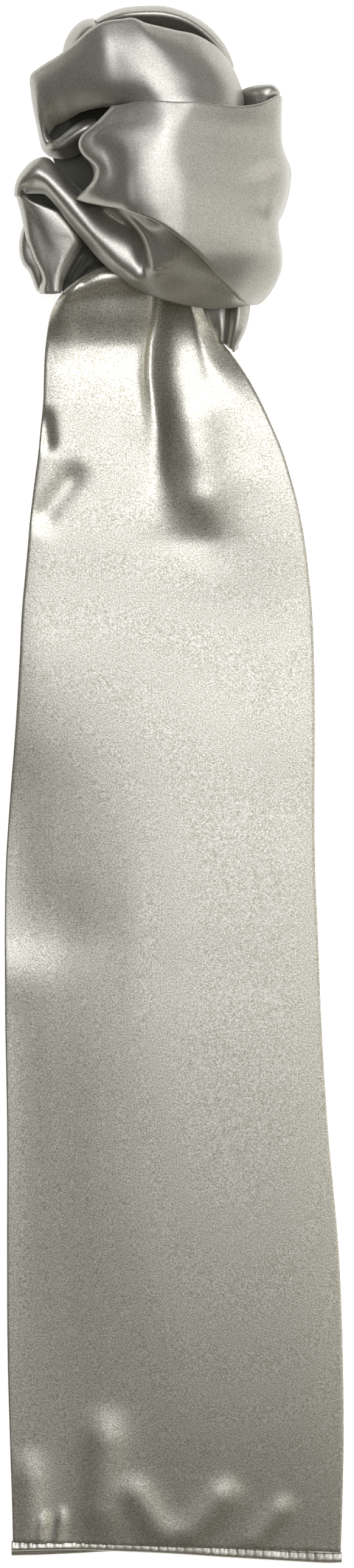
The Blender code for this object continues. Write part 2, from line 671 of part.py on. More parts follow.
def build():
    for thing in list(bpy.data.objects):
        bpy.data.objects.remove(thing, do_unlink=True)
    wrap = front_wrap()
    band = sash([wrap])
    top = crown([wrap])
    mouth = mouth_wall([wrap, top])
    curl = crown_curl([wrap, top])
    rim = rear_rim([top])
    lobe = back_lobe([top, rim])
    side = fan([band])
    hood = hood_inside([band, side])
    side_back = fan_back([side, band])
    inner = inner_fold([wrap, band, curl, top])
    lower = lower_fold([band, side])
    front = tail_front([band, side, side_back, lower])
    layer = under_layer([wrap, band, front])
    loop = under_loop([wrap, band, layer, front])
    tail_back()
    hem("hem_front", ((-79.6, -371), (-3, -371.6), (79.9, -375.6)), height=2.9, half=0.8,
        colour=BRIGHT)
    hem("hem_back", ((-79.5, -373), (-3, -372), (79.5, -376)), height=0.7, half=0.7,
        colour=SHADED)
    core([wrap, band, top, mouth, curl, rim, lobe, side, hood, side_back, inner, lower,
          layer, loop, front])
    cut_clear("sash", "front_wrap")
    cut_clear("mouth_wall", "front_wrap")
    cut_clear("crown_curl", "crown")
    cut_clear("rear_rim", "crown")
    cut_clear("under_layer", "sash")
    cut_clear("under_loop", "front_wrap", "sash", "under_layer")
    cut_clear("inner_fold", "crown_curl")
    cut_clear("core", "crown_curl", "inner_fold", "tail_front")
    stand_on_origin()


build()
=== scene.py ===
"""A satin scarf wound into one big loose knot, lying flat with a long tail."""

import math

import bmesh
import bpy
import numpy as np
from mathutils import Matrix, Vector


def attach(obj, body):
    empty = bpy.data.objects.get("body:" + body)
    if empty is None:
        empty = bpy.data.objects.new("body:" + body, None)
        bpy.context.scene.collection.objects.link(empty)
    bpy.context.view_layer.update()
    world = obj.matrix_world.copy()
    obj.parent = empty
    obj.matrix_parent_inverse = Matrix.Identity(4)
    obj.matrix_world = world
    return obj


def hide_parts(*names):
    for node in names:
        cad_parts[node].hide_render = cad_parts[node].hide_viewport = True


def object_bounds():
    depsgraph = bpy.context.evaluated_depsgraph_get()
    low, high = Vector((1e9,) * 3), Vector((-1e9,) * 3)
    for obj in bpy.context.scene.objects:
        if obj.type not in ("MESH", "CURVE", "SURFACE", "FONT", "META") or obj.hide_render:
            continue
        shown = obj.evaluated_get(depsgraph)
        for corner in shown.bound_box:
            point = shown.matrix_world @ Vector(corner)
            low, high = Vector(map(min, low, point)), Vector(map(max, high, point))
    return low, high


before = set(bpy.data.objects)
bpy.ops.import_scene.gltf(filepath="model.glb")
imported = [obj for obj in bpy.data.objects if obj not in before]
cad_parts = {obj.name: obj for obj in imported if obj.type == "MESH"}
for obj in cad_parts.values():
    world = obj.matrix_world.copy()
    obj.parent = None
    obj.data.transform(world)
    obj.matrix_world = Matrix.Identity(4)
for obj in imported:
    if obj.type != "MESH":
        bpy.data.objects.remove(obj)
cad_low, cad_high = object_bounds()
MM = 0.001


# --- Camera, floor and light ---------------------------------------------------------
# A long lens looks straight down on the middle of the scarf, which lies on a white board.
# A long softbox hangs over and beyond the knot and a small one to the right of the tail;
# a tall one stands off to the right, and a weak warm one beyond the hem.

VIEW_LENGTH = 0.7563            # length of the board that the camera takes in
LENS, SENSOR = 250.0, 36.0
VIEW_HEIGHT = VIEW_LENGTH / 2 / (SENSOR / 2 / LENS)
# The tables of points below are in millimetres and have a zero of their own.
TABLE_LOW = (-83.6, -375.8)     # where they have the left side and lower end of the scarf
TABLE_EYE = (0.3, -0.3)         # where they have the spot right below the camera
EYE = Vector((cad_low.x + (TABLE_EYE[0] - TABLE_LOW[0]) * MM,
              cad_low.y + (TABLE_EYE[1] - TABLE_LOW[1]) * MM))

camera_data = bpy.data.cameras.new("camera")
camera_data.lens = LENS
camera_data.sensor_width = SENSOR
camera = bpy.data.objects.new("camera", camera_data)
camera.location = (EYE.x, EYE.y, VIEW_HEIGHT)
bpy.context.scene.collection.objects.link(camera)
bpy.context.scene.camera = camera
bpy.context.scene.view_settings.view_transform = "Standard"


def linear(hex_colour):
    """An sRGB hex colour as linear red, green and blue."""
    parts = [int(hex_colour[k:k + 2], 16) / 255 for k in (1, 3, 5)]
    return tuple(c / 12.92 if c <= 0.04045 else ((c + 0.055) / 1.055) ** 2.4 for c in parts)


FLOOR_REACH = 30.0
FLOOR_GAP = 0.0002              # keeps the board clear of the cloth's underside

floor_mesh = bpy.data.meshes.new("floor")
floor_mesh.from_pydata(
    [(x * FLOOR_REACH, y * FLOOR_REACH, cad_low.z - FLOOR_GAP)
     for x, y in ((-1, -1), (1, -1), (1, 1), (-1, 1))], [], [(0, 1, 2, 3)])
floor = bpy.data.objects.new("floor", floor_mesh)
bpy.context.scene.collection.objects.link(floor)
# matt white, with a glow of its own that drowns all but the closest shadow
floor_paint = bpy.data.materials.new("matt_white_board")
floor_paint.use_nodes = True
paint = floor_paint.node_tree.nodes["Principled BSDF"]
paint.inputs["Base Color"].default_value = (*linear("#ececec"), 1)
paint.inputs["Roughness"].default_value = 1.0
paint.inputs["Emission Color"].default_value = (1, 1, 1, 1)
paint.inputs["Emission Strength"].default_value = 0.78
floor_mesh.materials.append(floor_paint)


def softbox(name, place, aim, size, brightness, hex_colour="#ffffff"):
    """A rectangular area light that the camera doesn't see."""
    light = bpy.data.lights.new(name, "AREA")
    light.shape = "RECTANGLE"
    light.size, light.size_y = size
    light.energy = brightness * math.pi * size[0] * size[1]
    light.color = linear(hex_colour)
    lamp = bpy.data.objects.new(name, light)
    lamp.location = place
    lamp.rotation_euler = (Vector(aim) - Vector(place)).to_track_quat("-Z", "Y").to_euler()
    lamp.visible_camera = False
    bpy.context.scene.collection.objects.link(lamp)


softbox("overhead", (0.1, 1.03, 1.9), (0.1, 1.03, 0), (0.94, 1.94), 5.8, "#f2f5ff")
softbox("low_overhead", (0.74, -0.3, 1.9), (0.74, -0.3, 0), (0.9, 0.6), 1.05, "#f6f6f0")
softbox("right_fill", (2.2, 0.0, 1.2), (0, 0.1, 0), (1.35, 2.8), 1.5, "#ffffff")
softbox("front_fill", (0.1, -2.3, 0.7), (0, 0.1, 0), (2.4, 1.2), 0.22, "#fff3d6")

world = bpy.data.worlds.new("studio")
bpy.context.scene.world = world
world.use_nodes = True
world.node_tree.nodes["Background"].inputs["Color"].default_value = (*linear("#ffeebf"), 1)
world.node_tree.nodes["Background"].inputs["Strength"].default_value = 0.05


# --- The wrap over the knot's front --------------------------------------------------
# The broad outer turn of the flattened tube. It is polyester satin in silver grey-green,
# pulled smooth over the turns below, with its lower edge tucked diagonally into the knot.


def to_frame(points):
    """Table points in millimetres as points of the frame in metres.

    The tables say where each point is seen against the board from the camera above it,
    so a high point is drawn in towards the middle of the view.
    """
    points = np.array(points, float)
    points[..., :2] -= TABLE_EYE
    points *= MM
    points[..., :2] *= 1 - points[..., 2:] / VIEW_HEIGHT
    points[..., :2] += EYE
    return points


def smooth(knots, rows, places):
    """Rows read off, at places, from the smooth curve through the given rows at knots."""
    slopes = np.gradient(rows, knots, axis=0)
    first = np.clip(np.searchsorted(knots, places, side="right") - 1, 0, len(knots) - 2)
    span = (knots[first + 1] - knots[first])[:, None]
    t = (places[:, None] - knots[first][:, None]) / span
    return (rows[first] * (1 + 2 * t) * (1 - t) ** 2 + slopes[first] * span * t * (1 - t) ** 2
            + rows[first + 1] * t * t * (3 - 2 * t) + slopes[first + 1] * span * t * t * (t - 1))


def lengths(points):
    """Running length along a line of points."""
    return np.concatenate([[0], np.cumsum(np.linalg.norm(np.diff(points, axis=0), axis=1))])


def strands_along(lines, spacing, half):
    """Each fold line read at the same even steps of its length.

    A line with as many points as the first is matched to it point by point.
    """
    lines = [np.array(line, float) for line in lines]
    shares = [lengths(line[:, :2]) / lengths(line[:, :2])[-1] for line in lines]
    alike = [k for k, line in enumerate(lines) if len(line) == len(lines[0])]
    shared = np.mean([shares[k] for k in alike], axis=0)
    length = np.mean([lengths(line[:, :2])[-1] for line in lines])
    steps = np.linspace(half / length, 1 - half / length, max(4, int(length / spacing)))
    return np.array([smooth(shared if k in alike else shares[k], line, steps)
                     for k, line in enumerate(lines)])


def woven(strands, spacing, half):
    """Grid of points on the smooth surface through the strands."""
    gaps = np.linalg.norm(np.diff(strands, axis=0), axis=2).mean(axis=1)
    across = np.concatenate([[0], np.cumsum(gaps)])
    places = np.linspace(half, across[-1] - half, max(4, int(across[-1] / spacing)))
    flat = smooth(across, strands.reshape(len(strands), -1), places)
    return flat.reshape(len(places), -1, 3)


def loft(lines, spacing, half=0.7):
    """Grid on the surface through fold lines of x, y and height."""
    return woven(strands_along(lines, spacing, half), spacing, half)


def fall(crest, left, right, spacing, half=0.7):
    """Grid on a surface that falls away from a crest line of x, y and height.

    Every other line gives x, y and the angle at which the cloth falls towards it.
    """
    strands = strands_along([crest] + left + right, spacing, half)
    sides = []
    for picked in (range(1, len(left) + 1), range(len(left) + 1, len(strands))):
        before, side = strands[0], []
        for k in picked:
            strand = strands[k].copy()
            run = np.linalg.norm(strand[:, :2] - before[:, :2], axis=1)
            strand[:, 2] = before[:, 2] - run * np.tan(np.radians(strand[:, 2]))
            side.append(strand)
            before = strand
        sides.append(side)
    return woven(np.array(sides[0][::-1] + [strands[0]] + sides[1]), spacing, half)


LOWEST_TURN = 1.2               # a side that turns down stops this far above the board


def carried_down(points, depth, inward, bulge):
    """A grid carried on past its last row, out a little and then down and under."""
    edge, before = points[-1], points[-3]
    out = edge[:, :2] - before[:, :2]
    out /= np.maximum(np.linalg.norm(out, axis=1), 1e-6)[:, None]
    drop = np.clip(edge[:, 2] - LOWEST_TURN, 0, depth)
    rows = []
    for t in np.linspace(0, 1, max(4, int(depth)) + 1)[1:]:
        run = bulge * math.sin(math.pi * t) * drop / depth - inward * t * t
        rows.append(np.column_stack([edge[:, :2] + out * run[:, None], edge[:, 2] - drop * t]))
    return np.concatenate([points, np.array(rows)])


def turned(points, sides, depth, inward, bulge=0.8):
    """A grid with some of its sides turned down: first, last, start and end."""
    for side in sides.split():
        grid = points if side in ("first", "last") else points.swapaxes(0, 1)
        if side in ("first", "start"):
            grid = carried_down(grid[::-1], depth, inward, bulge)[::-1]
        else:
            grid = carried_down(grid, depth, inward, bulge)
        points = grid if side in ("first", "last") else grid.swapaxes(0, 1)
    return points


def crisp(points, near=0.25):
    """A grid with a further line close inside its first and last, so they turn sharply."""
    first = points[:1] + (points[1:2] - points[:1]) * near
    last = points[-1:] + (points[-2:-1] - points[-1:]) * near
    return np.concatenate([points[:1], first, points[1:-1], last, points[-1:]])


CREASE_FADE = 0.3               # share of a crease's length over which each end dies away


def beside(points, path):
    """Each point's distance from a smooth path, its share along it, and its side of it."""
    path = np.array(path, float)
    run = lengths(path)
    line = smooth(run, path, np.linspace(0, run[-1], 8 * len(path)))
    away = np.full(points.shape[:2], np.inf)
    share, side = np.zeros_like(away), np.zeros_like(away)
    for k, (start, end) in enumerate(zip(line[:-1], line[1:])):
        step = end - start
        t = np.clip(((points[..., :2] - start) @ step) / (step @ step), 0, 1)
        offset = points[..., :2] - start - t[..., None] * step
        gap = np.linalg.norm(offset, axis=-1)
        nearer = gap < away
        away = np.where(nearer, gap, away)
        share = np.where(nearer, (k + t) / (len(line) - 1), share)
        side = np.where(nearer, offset[..., 0] * step[1] - offset[..., 1] * step[0], side)
    return away, share, side


def creased(points, creases):
    """A grid raised or sunk along crease lines, each a path, a width and a height."""
    points = points.copy()
    for path, width, height in creases:
        away, share, _ = beside(points, path)
        fade = np.clip(np.minimum(share, 1 - share) / CREASE_FADE, 0, 1)
        points[..., 2] += height * fade * fade * (3 - 2 * fade) * np.exp(-(away / width) ** 2)
    return points


def lowered(points, path, profile):
    """A grid lowered on the right of a path, by a depth that grows with the distance."""
    points = points.copy()
    away, _, side = beside(points, path)
    far, depth = np.array(profile, float).T
    drop = smooth(far, depth[:, None], np.clip(away.ravel(), far[0], far[-1]))
    points[..., 2] -= np.where(side > 0, drop.reshape(away.shape), 0)
    return points


def eased(points, rounds):
    """A grid whose inner points are moved towards the middle of their neighbours."""
    points = points.copy()
    for _ in range(rounds):
        points[1:-1, 1:-1] = (points[1:-1, 1:-1] / 2 + (
            points[:-2, 1:-1] + points[2:, 1:-1] + points[1:-1, :-2] + points[1:-1, 2:]) / 8)
    return points


def unit(vectors):
    """Vectors brought to a length of one."""
    return vectors / np.maximum(np.linalg.norm(vectors, axis=-1, keepdims=True), 1e-9)


def shell(points, half, arcs=5):
    """Corners and faces of a layer of cloth about a grid, with a round fold at its border."""
    across, along = np.gradient(points, axis=0), np.gradient(points, axis=1)
    normals = unit(np.cross(along, across))
    if normals[..., 2].mean() < 0:
        normals = -normals
    rows, columns = points.shape[:2]
    loop = ([(0, j) for j in range(columns)] + [(i, columns - 1) for i in range(1, rows)]
            + [(rows - 1, j) for j in range(columns - 2, -1, -1)]
            + [(i, 0) for i in range(rows - 2, 0, -1)])
    outward = []
    for i, j in loop:
        way = np.zeros(3)
        if j in (0, columns - 1):
            way += unit(along[i, j]) * (1 if j else -1)
        if i in (0, rows - 1):
            way += unit(across[i, j]) * (1 if i else -1)
        outward.append(unit(way - normals[i, j] * (way @ normals[i, j])))
    picked, outward = tuple(np.array(loop).T), np.array(outward)
    rings = [points[picked] + half * (math.sin(a) * outward + math.cos(a) * normals[picked])
             for a in np.linspace(0, math.pi, arcs + 1)[1:-1]]
    corners = np.vstack([(points + half * normals).reshape(-1, 3),
                         (points - half * normals).reshape(-1, 3)] + rings)
    count = rows * columns
    faces = []
    for i in range(rows - 1):
        for j in range(columns - 1):
            a = i * columns + j
            faces.append((a, a + 1, a + columns + 1, a + columns))
            faces.append(tuple(count + k for k in (a + columns, a + columns + 1, a + 1, a)))
    edge = [i * columns + j for i, j in loop]
    levels = [edge] + [[2 * count + ring * len(loop) + k for k in range(len(loop))]
                       for ring in range(len(rings))] + [[count + k for k in edge]]
    for upper, lower in zip(levels[:-1], levels[1:]):
        for k in range(len(loop)):
            following = (k + 1) % len(loop)
            faces.append((upper[following], upper[k], lower[k], lower[following]))
    return corners, faces


def shown(name, mesh, material):
    """A mesh as a smooth piece of the scarf, riding with its one body."""
    mesh.shade_smooth()
    mesh.materials.append(material)
    piece = bpy.data.objects.new(name, mesh)
    bpy.context.scene.collection.objects.link(piece)
    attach(piece, "root")
    return piece


def cloth(name, points, material, nodes, half=0.7):
    """One stretch of the scarf, as a shell about a grid that stands for some CAD nodes."""
    corners, faces = shell(points, half)
    mesh = bpy.data.meshes.new(name)
    mesh.from_pydata(to_frame(corners).tolist(), [], faces)
    work = bmesh.new()
    work.from_mesh(mesh)
    if work.calc_volume(signed=True) < 0:
        bmesh.ops.reverse_faces(work, faces=work.faces)
    work.to_mesh(mesh)
    work.free()
    piece = shown(name, mesh, material)
    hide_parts(*nodes)


def add(tree, kind, settings=None, links=None):
    """A node of a kind, with its settings and with links into its sockets."""
    node = tree.nodes.new(kind)
    for key, value in (settings or {}).items():
        if hasattr(node, key):
            setattr(node, key, value)
        else:
            node.inputs[key].default_value = value
    for key, source in (links or {}).items():
        tree.links.new(source, node.inputs[key])
    return node


# The weave's slanting lines are too fine to show. Drawn far coarser, as a ripple this wide
# and slanting by so many degrees, they still bend the sheen a little.
RIPPLE_MM, RIPPLE_SLANT = 6.91, 58
BANDS = 20 / (2 * math.pi)      # how many bands the wave texture draws at a scale of 1


def satin(name, light, dark, grain_mm=0.6, grain_depth=0.03, ripple_depth=0.005,
          roughness=0.42):
    """Polyester satin: long floats of bright filament give a soft metallic sheen, with a
    sparkle where threads catch the light, and a faint slanting ripple.

    Single threads are too fine to show, so the sparkle's grain is several threads across.
    """
    material = bpy.data.materials.new(name)
    material.use_nodes = True
    tree = material.node_tree
    shader = tree.nodes["Principled BSDF"]
    shader.inputs["Metallic"].default_value = 0.8
    shader.inputs["Roughness"].default_value = roughness
    place = add(tree, "ShaderNodeTexCoord").outputs["Object"]
    grain = add(tree, "ShaderNodeTexNoise",
                {"Scale": 1 / (grain_mm * MM), "Detail": 2.0, "Roughness": 0.6},
                {"Vector": place}).outputs["Fac"]
    tone = add(tree, "ShaderNodeMapRange",
               {"From Min": 0.3, "From Max": 0.7, "To Min": 0.0, "To Max": 1.0},
               {"Value": grain}).outputs["Result"]
    ramp = add(tree, "ShaderNodeValToRGB", {}, {"Fac": tone})
    ramp.color_ramp.elements[0].color = (*linear(dark), 1)
    ramp.color_ramp.elements[1].color = (*linear(light), 1)
    tree.links.new(ramp.outputs["Color"], shader.inputs["Base Color"])
    slant = add(tree, "ShaderNodeMapping", {"Rotation": (0, 0, math.radians(RIPPLE_SLANT))},
                {"Vector": place}).outputs["Vector"]
    ripple = add(tree, "ShaderNodeTexWave",
                 {"Scale": 1 / (RIPPLE_MM * MM * BANDS), "Distortion": 0.6, "Detail": 1.0},
                 {"Vector": slant}).outputs["Fac"]
    fine = add(tree, "ShaderNodeBump", {"Strength": 1.0, "Distance": grain_depth * MM},
               {"Height": grain})
    bump = add(tree, "ShaderNodeBump", {"Strength": 1.0, "Distance": ripple_depth * MM},
               {"Height": ripple, "Normal": fine.outputs["Normal"]})
    tree.links.new(bump.outputs["Normal"], shader.inputs["Normal"])
    return material


# wound loosely, so its floats lie less straight: a soft sheen with wide, gentle highlights; its
# colour is painted a little darker than the tail's, as painted shade on the knot
knot_satin = satin("silver_polyester_satin", "#c4c2b7", "#9d998c")

# the crest gives x, y and height, every other line x, y and the angle of fall in degrees
WRAP_CREST = ((-4, 328.9, 60.2), (-5, 321, 62.3), (-7, 313, 63.7), (-9, 305, 64.5),
              (-10, 297, 64.6), (-10, 289, 64.5), (-9.5, 280, 64), (-8.5, 270.2, 62.8))
WRAP_LEFT = [
    ((-9.5, 329.3, 6), (-11, 321, 8), (-14.5, 313, 6), (-16, 305, 4), (-16.5, 297, 3),
     (-16.5, 289, 4), (-16, 281, 4), (-15.5, 273.4, 4)),
    ((-14, 329.2, 14), (-16.5, 320.5, 12), (-20.5, 313, 9), (-20, 305, 10), (-20, 296.5, 10),
     (-20.3, 289, 10), (-19.8, 281.5, 11), (-19.5, 275, 12)),
    ((-17.5, 328.9, 17), (-21.5, 320, 13), (-26.5, 313, 13), (-24.5, 305, 15),
     (-24, 296.5, 17), (-24.2, 289, 14), (-23.8, 281.5, 14), (-23.5, 276.3, 24)),
    ((-21, 328.5, 18), (-26, 319.5, 13), (-32, 312.5, 18), (-29, 304, 27), (-28, 296, 29),
     (-28.2, 288, 29), (-28.5, 281.5, 30), (-28, 277.7, 32)),
    ((-24, 327.9, 17), (-30, 318.8, 14), (-36, 312, 28), (-33, 303.5, 22), (-31, 296, 20),
     (-31.2, 289, 22), (-33, 282.5, 27), (-34, 278.7, 30)),
    ((-26.5, 327.4, 16), (-32.5, 318.8, 18), (-39.5, 311, 26), (-37, 304, 13),
     (-34, 296.3, 14), (-34.5, 290, 14), (-37, 284, 15), (-39.5, 279.7, 28)),
    ((-28.3, 327, 18), (-34.5, 319.5, 25), (-42.5, 310.8, 14), (-41, 304, 16),
     (-36.5, 296.8, 28), (-37, 290.5, 18), (-40.5, 285, 22), (-43.5, 280.5, 28)),
    ((-29.5, 326.9, 35), (-35.9, 319.6, 35), (-44.9, 310.8, 20), (-43.8, 304, 30),
     (-37.9, 297, 45), (-38.3, 290.8, 40), (-42.6, 285.4, 40), (-46, 281.3, 40)),
    ((-30.3, 326.9, 65), (-36.7, 320, 65), (-42.5, 315.2, 65), (-45.9, 311, 65),
     (-46.2, 307.3, 65), (-44.6, 303.7, 65), (-41.2, 300.3, 65), (-38.9, 297.2, 65),
     (-38.3, 294, 65), (-39, 290.8, 65), (-43.2, 286.3, 65), (-47.2, 281.9, 65)),
]
WRAP_RIGHT = [
    ((2, 328.6, 2), (0.5, 321, 3), (-1.5, 313, 4), (-2.5, 305, 4), (-2, 297, 4),
     (-1, 289, 4), (0, 280, 4), (-1.5, 265.3, 4)),
    ((7, 328.7, 6), (4, 321, 9), (1.5, 313, 11), (0.5, 305, 11), (1.5, 297, 10),
     (3, 288.5, 9), (3.5, 278, 9), (3.5, 261.3, 9)),
    ((12, 328.4, 13), (8, 321, 15), (5.5, 313, 16), (5, 305, 16), (6, 296.5, 15.5),
     (8, 287.5, 15), (9, 275, 15.5), (9, 256.5, 16)),
    ((18, 327.6, 20), (14, 320.5, 19), (12, 312, 18), (11.5, 303.5, 18), (12.5, 294.5, 18),
     (14, 284, 18), (15, 270, 18), (15.5, 249.5, 18)),
    ((26, 326.8, 23), (24, 319, 20.5), (23, 310.5, 20.5), (22.5, 301.5, 20),
     (23, 292, 20.5), (24, 280.5, 20.5), (25, 265, 20), (21.5, 242, 19)),
    ((34, 326.9, 27), (33.5, 318, 26), (33, 309, 26), (32.5, 299.5, 26), (33, 289.5, 26),
     (33.5, 277, 26), (34, 260, 25), (27, 236, 24)),
    ((42, 328.7, 32), (42, 318, 33), (42, 308, 33), (42.5, 297.5, 33), (42.5, 287, 32),
     (41, 273.5, 30), (41, 254, 33), (30, 232.6, 30)),
    ((47.8, 331.8, 45), (47.5, 319, 42), (48.3, 306.5, 42), (50.5, 296, 42),
     (50.3, 285, 42), (46.5, 271, 42), (47.5, 249, 42), (33.5, 230.7, 40)),
    ((50.2, 332, 68), (50, 318, 68), (50.7, 307.5, 68), (52.5, 302, 68), (54.6, 297, 68),
     (54.6, 289, 68), (53.6, 283, 68), (51, 275, 68), (48.5, 269.5, 68), (48.3, 265.5, 68),
     (49.8, 260.5, 68), (50.7, 254, 68), (50, 247.5, 68), (47.8, 242, 68), (44.8, 237, 68),
     (41.5, 233, 68), (38, 230.9, 68)),
]
wrap_grid = fall(WRAP_CREST, WRAP_LEFT, WRAP_RIGHT, spacing=1.0)
wrap_grid = lowered(wrap_grid, ((-12, 264), (30, 264), (60, 266)),
                    ((0, 0), (10, 1), (20, 4.5), (30, 11), (36, 17)))
wrap_grid = turned(wrap_grid, "last", depth=34, inward=6, bulge=1.2)
wrap_grid = creased(wrap_grid, (
    (((40, 300), (44, 290), (46, 280), (45, 270)), 8.0, -1.7),
    (((52, 265.5), (46, 262.5), (41, 263)), 3.0, -1.3),
))
wrap_grid = turned(wrap_grid, "first", depth=5, inward=2.5, bulge=0.4)
wrap_grid = turned(wrap_grid, "end", depth=8, inward=1.6, bulge=0.1)
cloth("wrap", wrap_grid, knot_satin, nodes=["front_wrap"])


# --- The crown over the knot's top ---------------------------------------------------
# The next turn of satin, which fans from the knot's left point over its top to the right
# shoulder. Its back edge rolls down behind, and its lower left side curls up into a lip
# over the knot's dark inside. The wrap's pull holds it.

CROWN_LINES = (
    # across the turn, from its outer to its inner side, starting at the right shoulder
    ((24.3, 349, 29), (27.3, 344, 31.5), (29.4, 339.3, 33.5), (30.9, 335, 35),
     (31.9, 330.8, 36), (32.3, 326, 36.5), (32.5, 320, 36.5)),
    ((17.3, 356.4, 35.8), (20.7, 350, 38.8), (23.5, 344, 41.6), (25.5, 338.5, 43.7),
     (27, 333.5, 44.8), (28, 327, 45.8), (28.5, 320, 46)),
    ((8, 361.5, 40.2), (12.5, 354, 43.8), (16.5, 346.5, 46.9), (19, 340, 49),
     (20.5, 334.5, 50.6), (21.5, 328, 52), (22, 320, 52.5)),
    ((-1, 363.5, 43), (4.5, 355.5, 47.2), (9, 347.5, 50.2), (12, 340, 52.4),
     (13.5, 334, 54), (14.5, 328, 55.8), (15, 320, 56.5)),
    ((-9, 365.4, 44.8), (-3, 357.5, 49), (1.5, 349.5, 52), (5, 341.5, 54.6),
     (6.5, 335, 56.4), (7.5, 329, 58.2), (8, 320, 59)),
    ((-15.5, 367, 46), (-9, 358.5, 50.6), (-4.5, 350, 53.6), (-1.5, 342, 55.8),
     (0, 335, 57.7), (1, 329, 59.2), (1.5, 320, 60)),
    ((-21, 369.4, 46.3), (-15.5, 360.5, 51), (-12.5, 351, 54), (-10, 342, 56.4),
     (-8, 335, 57.9), (-7, 329, 59.2), (-6.5, 320, 60)),
    ((-27, 369, 46.5), (-24, 360, 50.8), (-22, 351, 53.8), (-19.5, 343, 55.6),
     (-18, 337.5, 56), (-17, 333, 55.7), (-16.3, 329, 56), (-15.8, 325, 56.5)),
    ((-32, 368.3, 47), (-30, 359, 51), (-28.5, 350, 53.2), (-27.3, 342.5, 54.2),
     (-26.5, 338, 53.9), (-25.8, 334.5, 52.8), (-25.2, 331, 51.2), (-24.7, 328, 49.7),
     (-24.3, 325.5, 47.5)),
    ((-36.8, 366.8, 47), (-35.3, 358, 50.8), (-34.6, 350, 52.3), (-34.2, 342.5, 52.8),
     (-33.8, 338, 52.2), (-33.2, 334.5, 50.9), (-32.6, 331.2, 49), (-32, 328.6, 47.2),
     (-31.5, 326, 44)),
    ((-42, 363.5, 46), (-41, 356, 48.8), (-40.6, 348, 50), (-40.4, 341.5, 50.3),
     (-40, 337.5, 49.7), (-39.4, 334, 48.4), (-38.7, 330.8, 46.4), (-38, 328, 44.2),
     (-37.3, 325.5, 41)),
    ((-50, 356.4, 42.5), (-48.7, 348.5, 45.8), (-48, 341.5, 46.6), (-47.4, 337, 46),
     (-46.7, 333, 44.4), (-46, 329.5, 42.3), (-45.5, 326.6, 40), (-45, 323.8, 36.5)),
    ((-58, 350.6, 38), (-56.4, 343, 41.8), (-55, 337, 42), (-53.8, 332, 40.8),
     (-52.5, 327.5, 38), (-51.3, 324.2, 35.3), (-50.3, 321.5, 31)),
    ((-66, 345.4, 33), (-63.5, 339.5, 37), (-61.3, 334, 37.8), (-59.3, 329, 36.6),
     (-57.5, 325, 34), (-56, 321.8, 30.8), (-54.8, 319, 27)),
    # and on round the hook at the left
    ((-70, 341.8, 30), (-67, 336.5, 34.5), (-64.5, 331, 35.5), (-62, 325.8, 34),
     (-60, 321.5, 30), (-57.7, 317.3, 24)),
    ((-69.7, 333, 28.5), (-67.5, 329.5, 32.5), (-65.3, 325.5, 32.7), (-63.3, 321.5, 30.5),
     (-61.6, 318, 27), (-60, 315, 22.5)),
    ((-68.5, 325.5, 25.5), (-67, 322.8, 29.5), (-65.2, 320, 29.5), (-63.6, 317.3, 27),
     (-61.3, 313, 21)),
    ((-66.6, 317, 22), (-65.3, 315.5, 26.5), (-63.9, 314, 26.5), (-62.8, 312.9, 24.5),
     (-61.6, 311.8, 19)),
    ((-65.3, 310.5, 18), (-64.2, 310.5, 24.5), (-63, 310.6, 26), (-61.9, 310.7, 24.5),
     (-60.9, 310.8, 19)),
    ((-64.2, 306.3, 16), (-63, 307.3, 23.5), (-61.8, 308.4, 26), (-60.8, 309.3, 25.5),
     (-60.1, 310, 20)),
    ((-61.3, 303.2, 15), (-60.4, 305, 23), (-59.8, 306.2, 27.2), (-59, 308.6, 27),
     (-58.7, 309.8, 21)),
    ((-57, 301.8, 15), (-56.8, 304.6, 23), (-56.6, 306.3, 28.5), (-56.3, 309.3, 28.5),
     (-56.5, 311, 22)),
    ((-52, 301.9, 15), (-52.3, 306, 24), (-52.4, 308.8, 30), (-52.6, 312, 30),
     (-53, 314, 23)),
    ((-47, 303.8, 15), (-47.6, 308.8, 24.5), (-47.8, 311.8, 31), (-48.2, 315.2, 31),
     (-48.8, 317.3, 24)),
    ((-42, 306, 15), (-42.5, 311, 25), (-42.8, 314.3, 31.2), (-43.5, 317.8, 31),
     (-44.3, 320, 24)),
    ((-37, 308, 15), (-37.5, 313, 24), (-38, 317, 29), (-38.5, 319.3, 29), (-39, 321, 23)),
)
crown_grid = loft(CROWN_LINES, spacing=0.9)
crown_grid = turned(crown_grid, "first", depth=16, inward=4)
crown_grid = turned(crown_grid, "start", depth=15, inward=4, bulge=0.5)
cloth("crown", crown_grid, knot_satin, nodes=["crown", "crown_curl"])


# --- The rear rim and lobe, behind the crown -----------------------------------------
# Two short arcs of an inner turn of the same satin, rolled over at the top, that show past
# the crown's back edge and stand on the board.

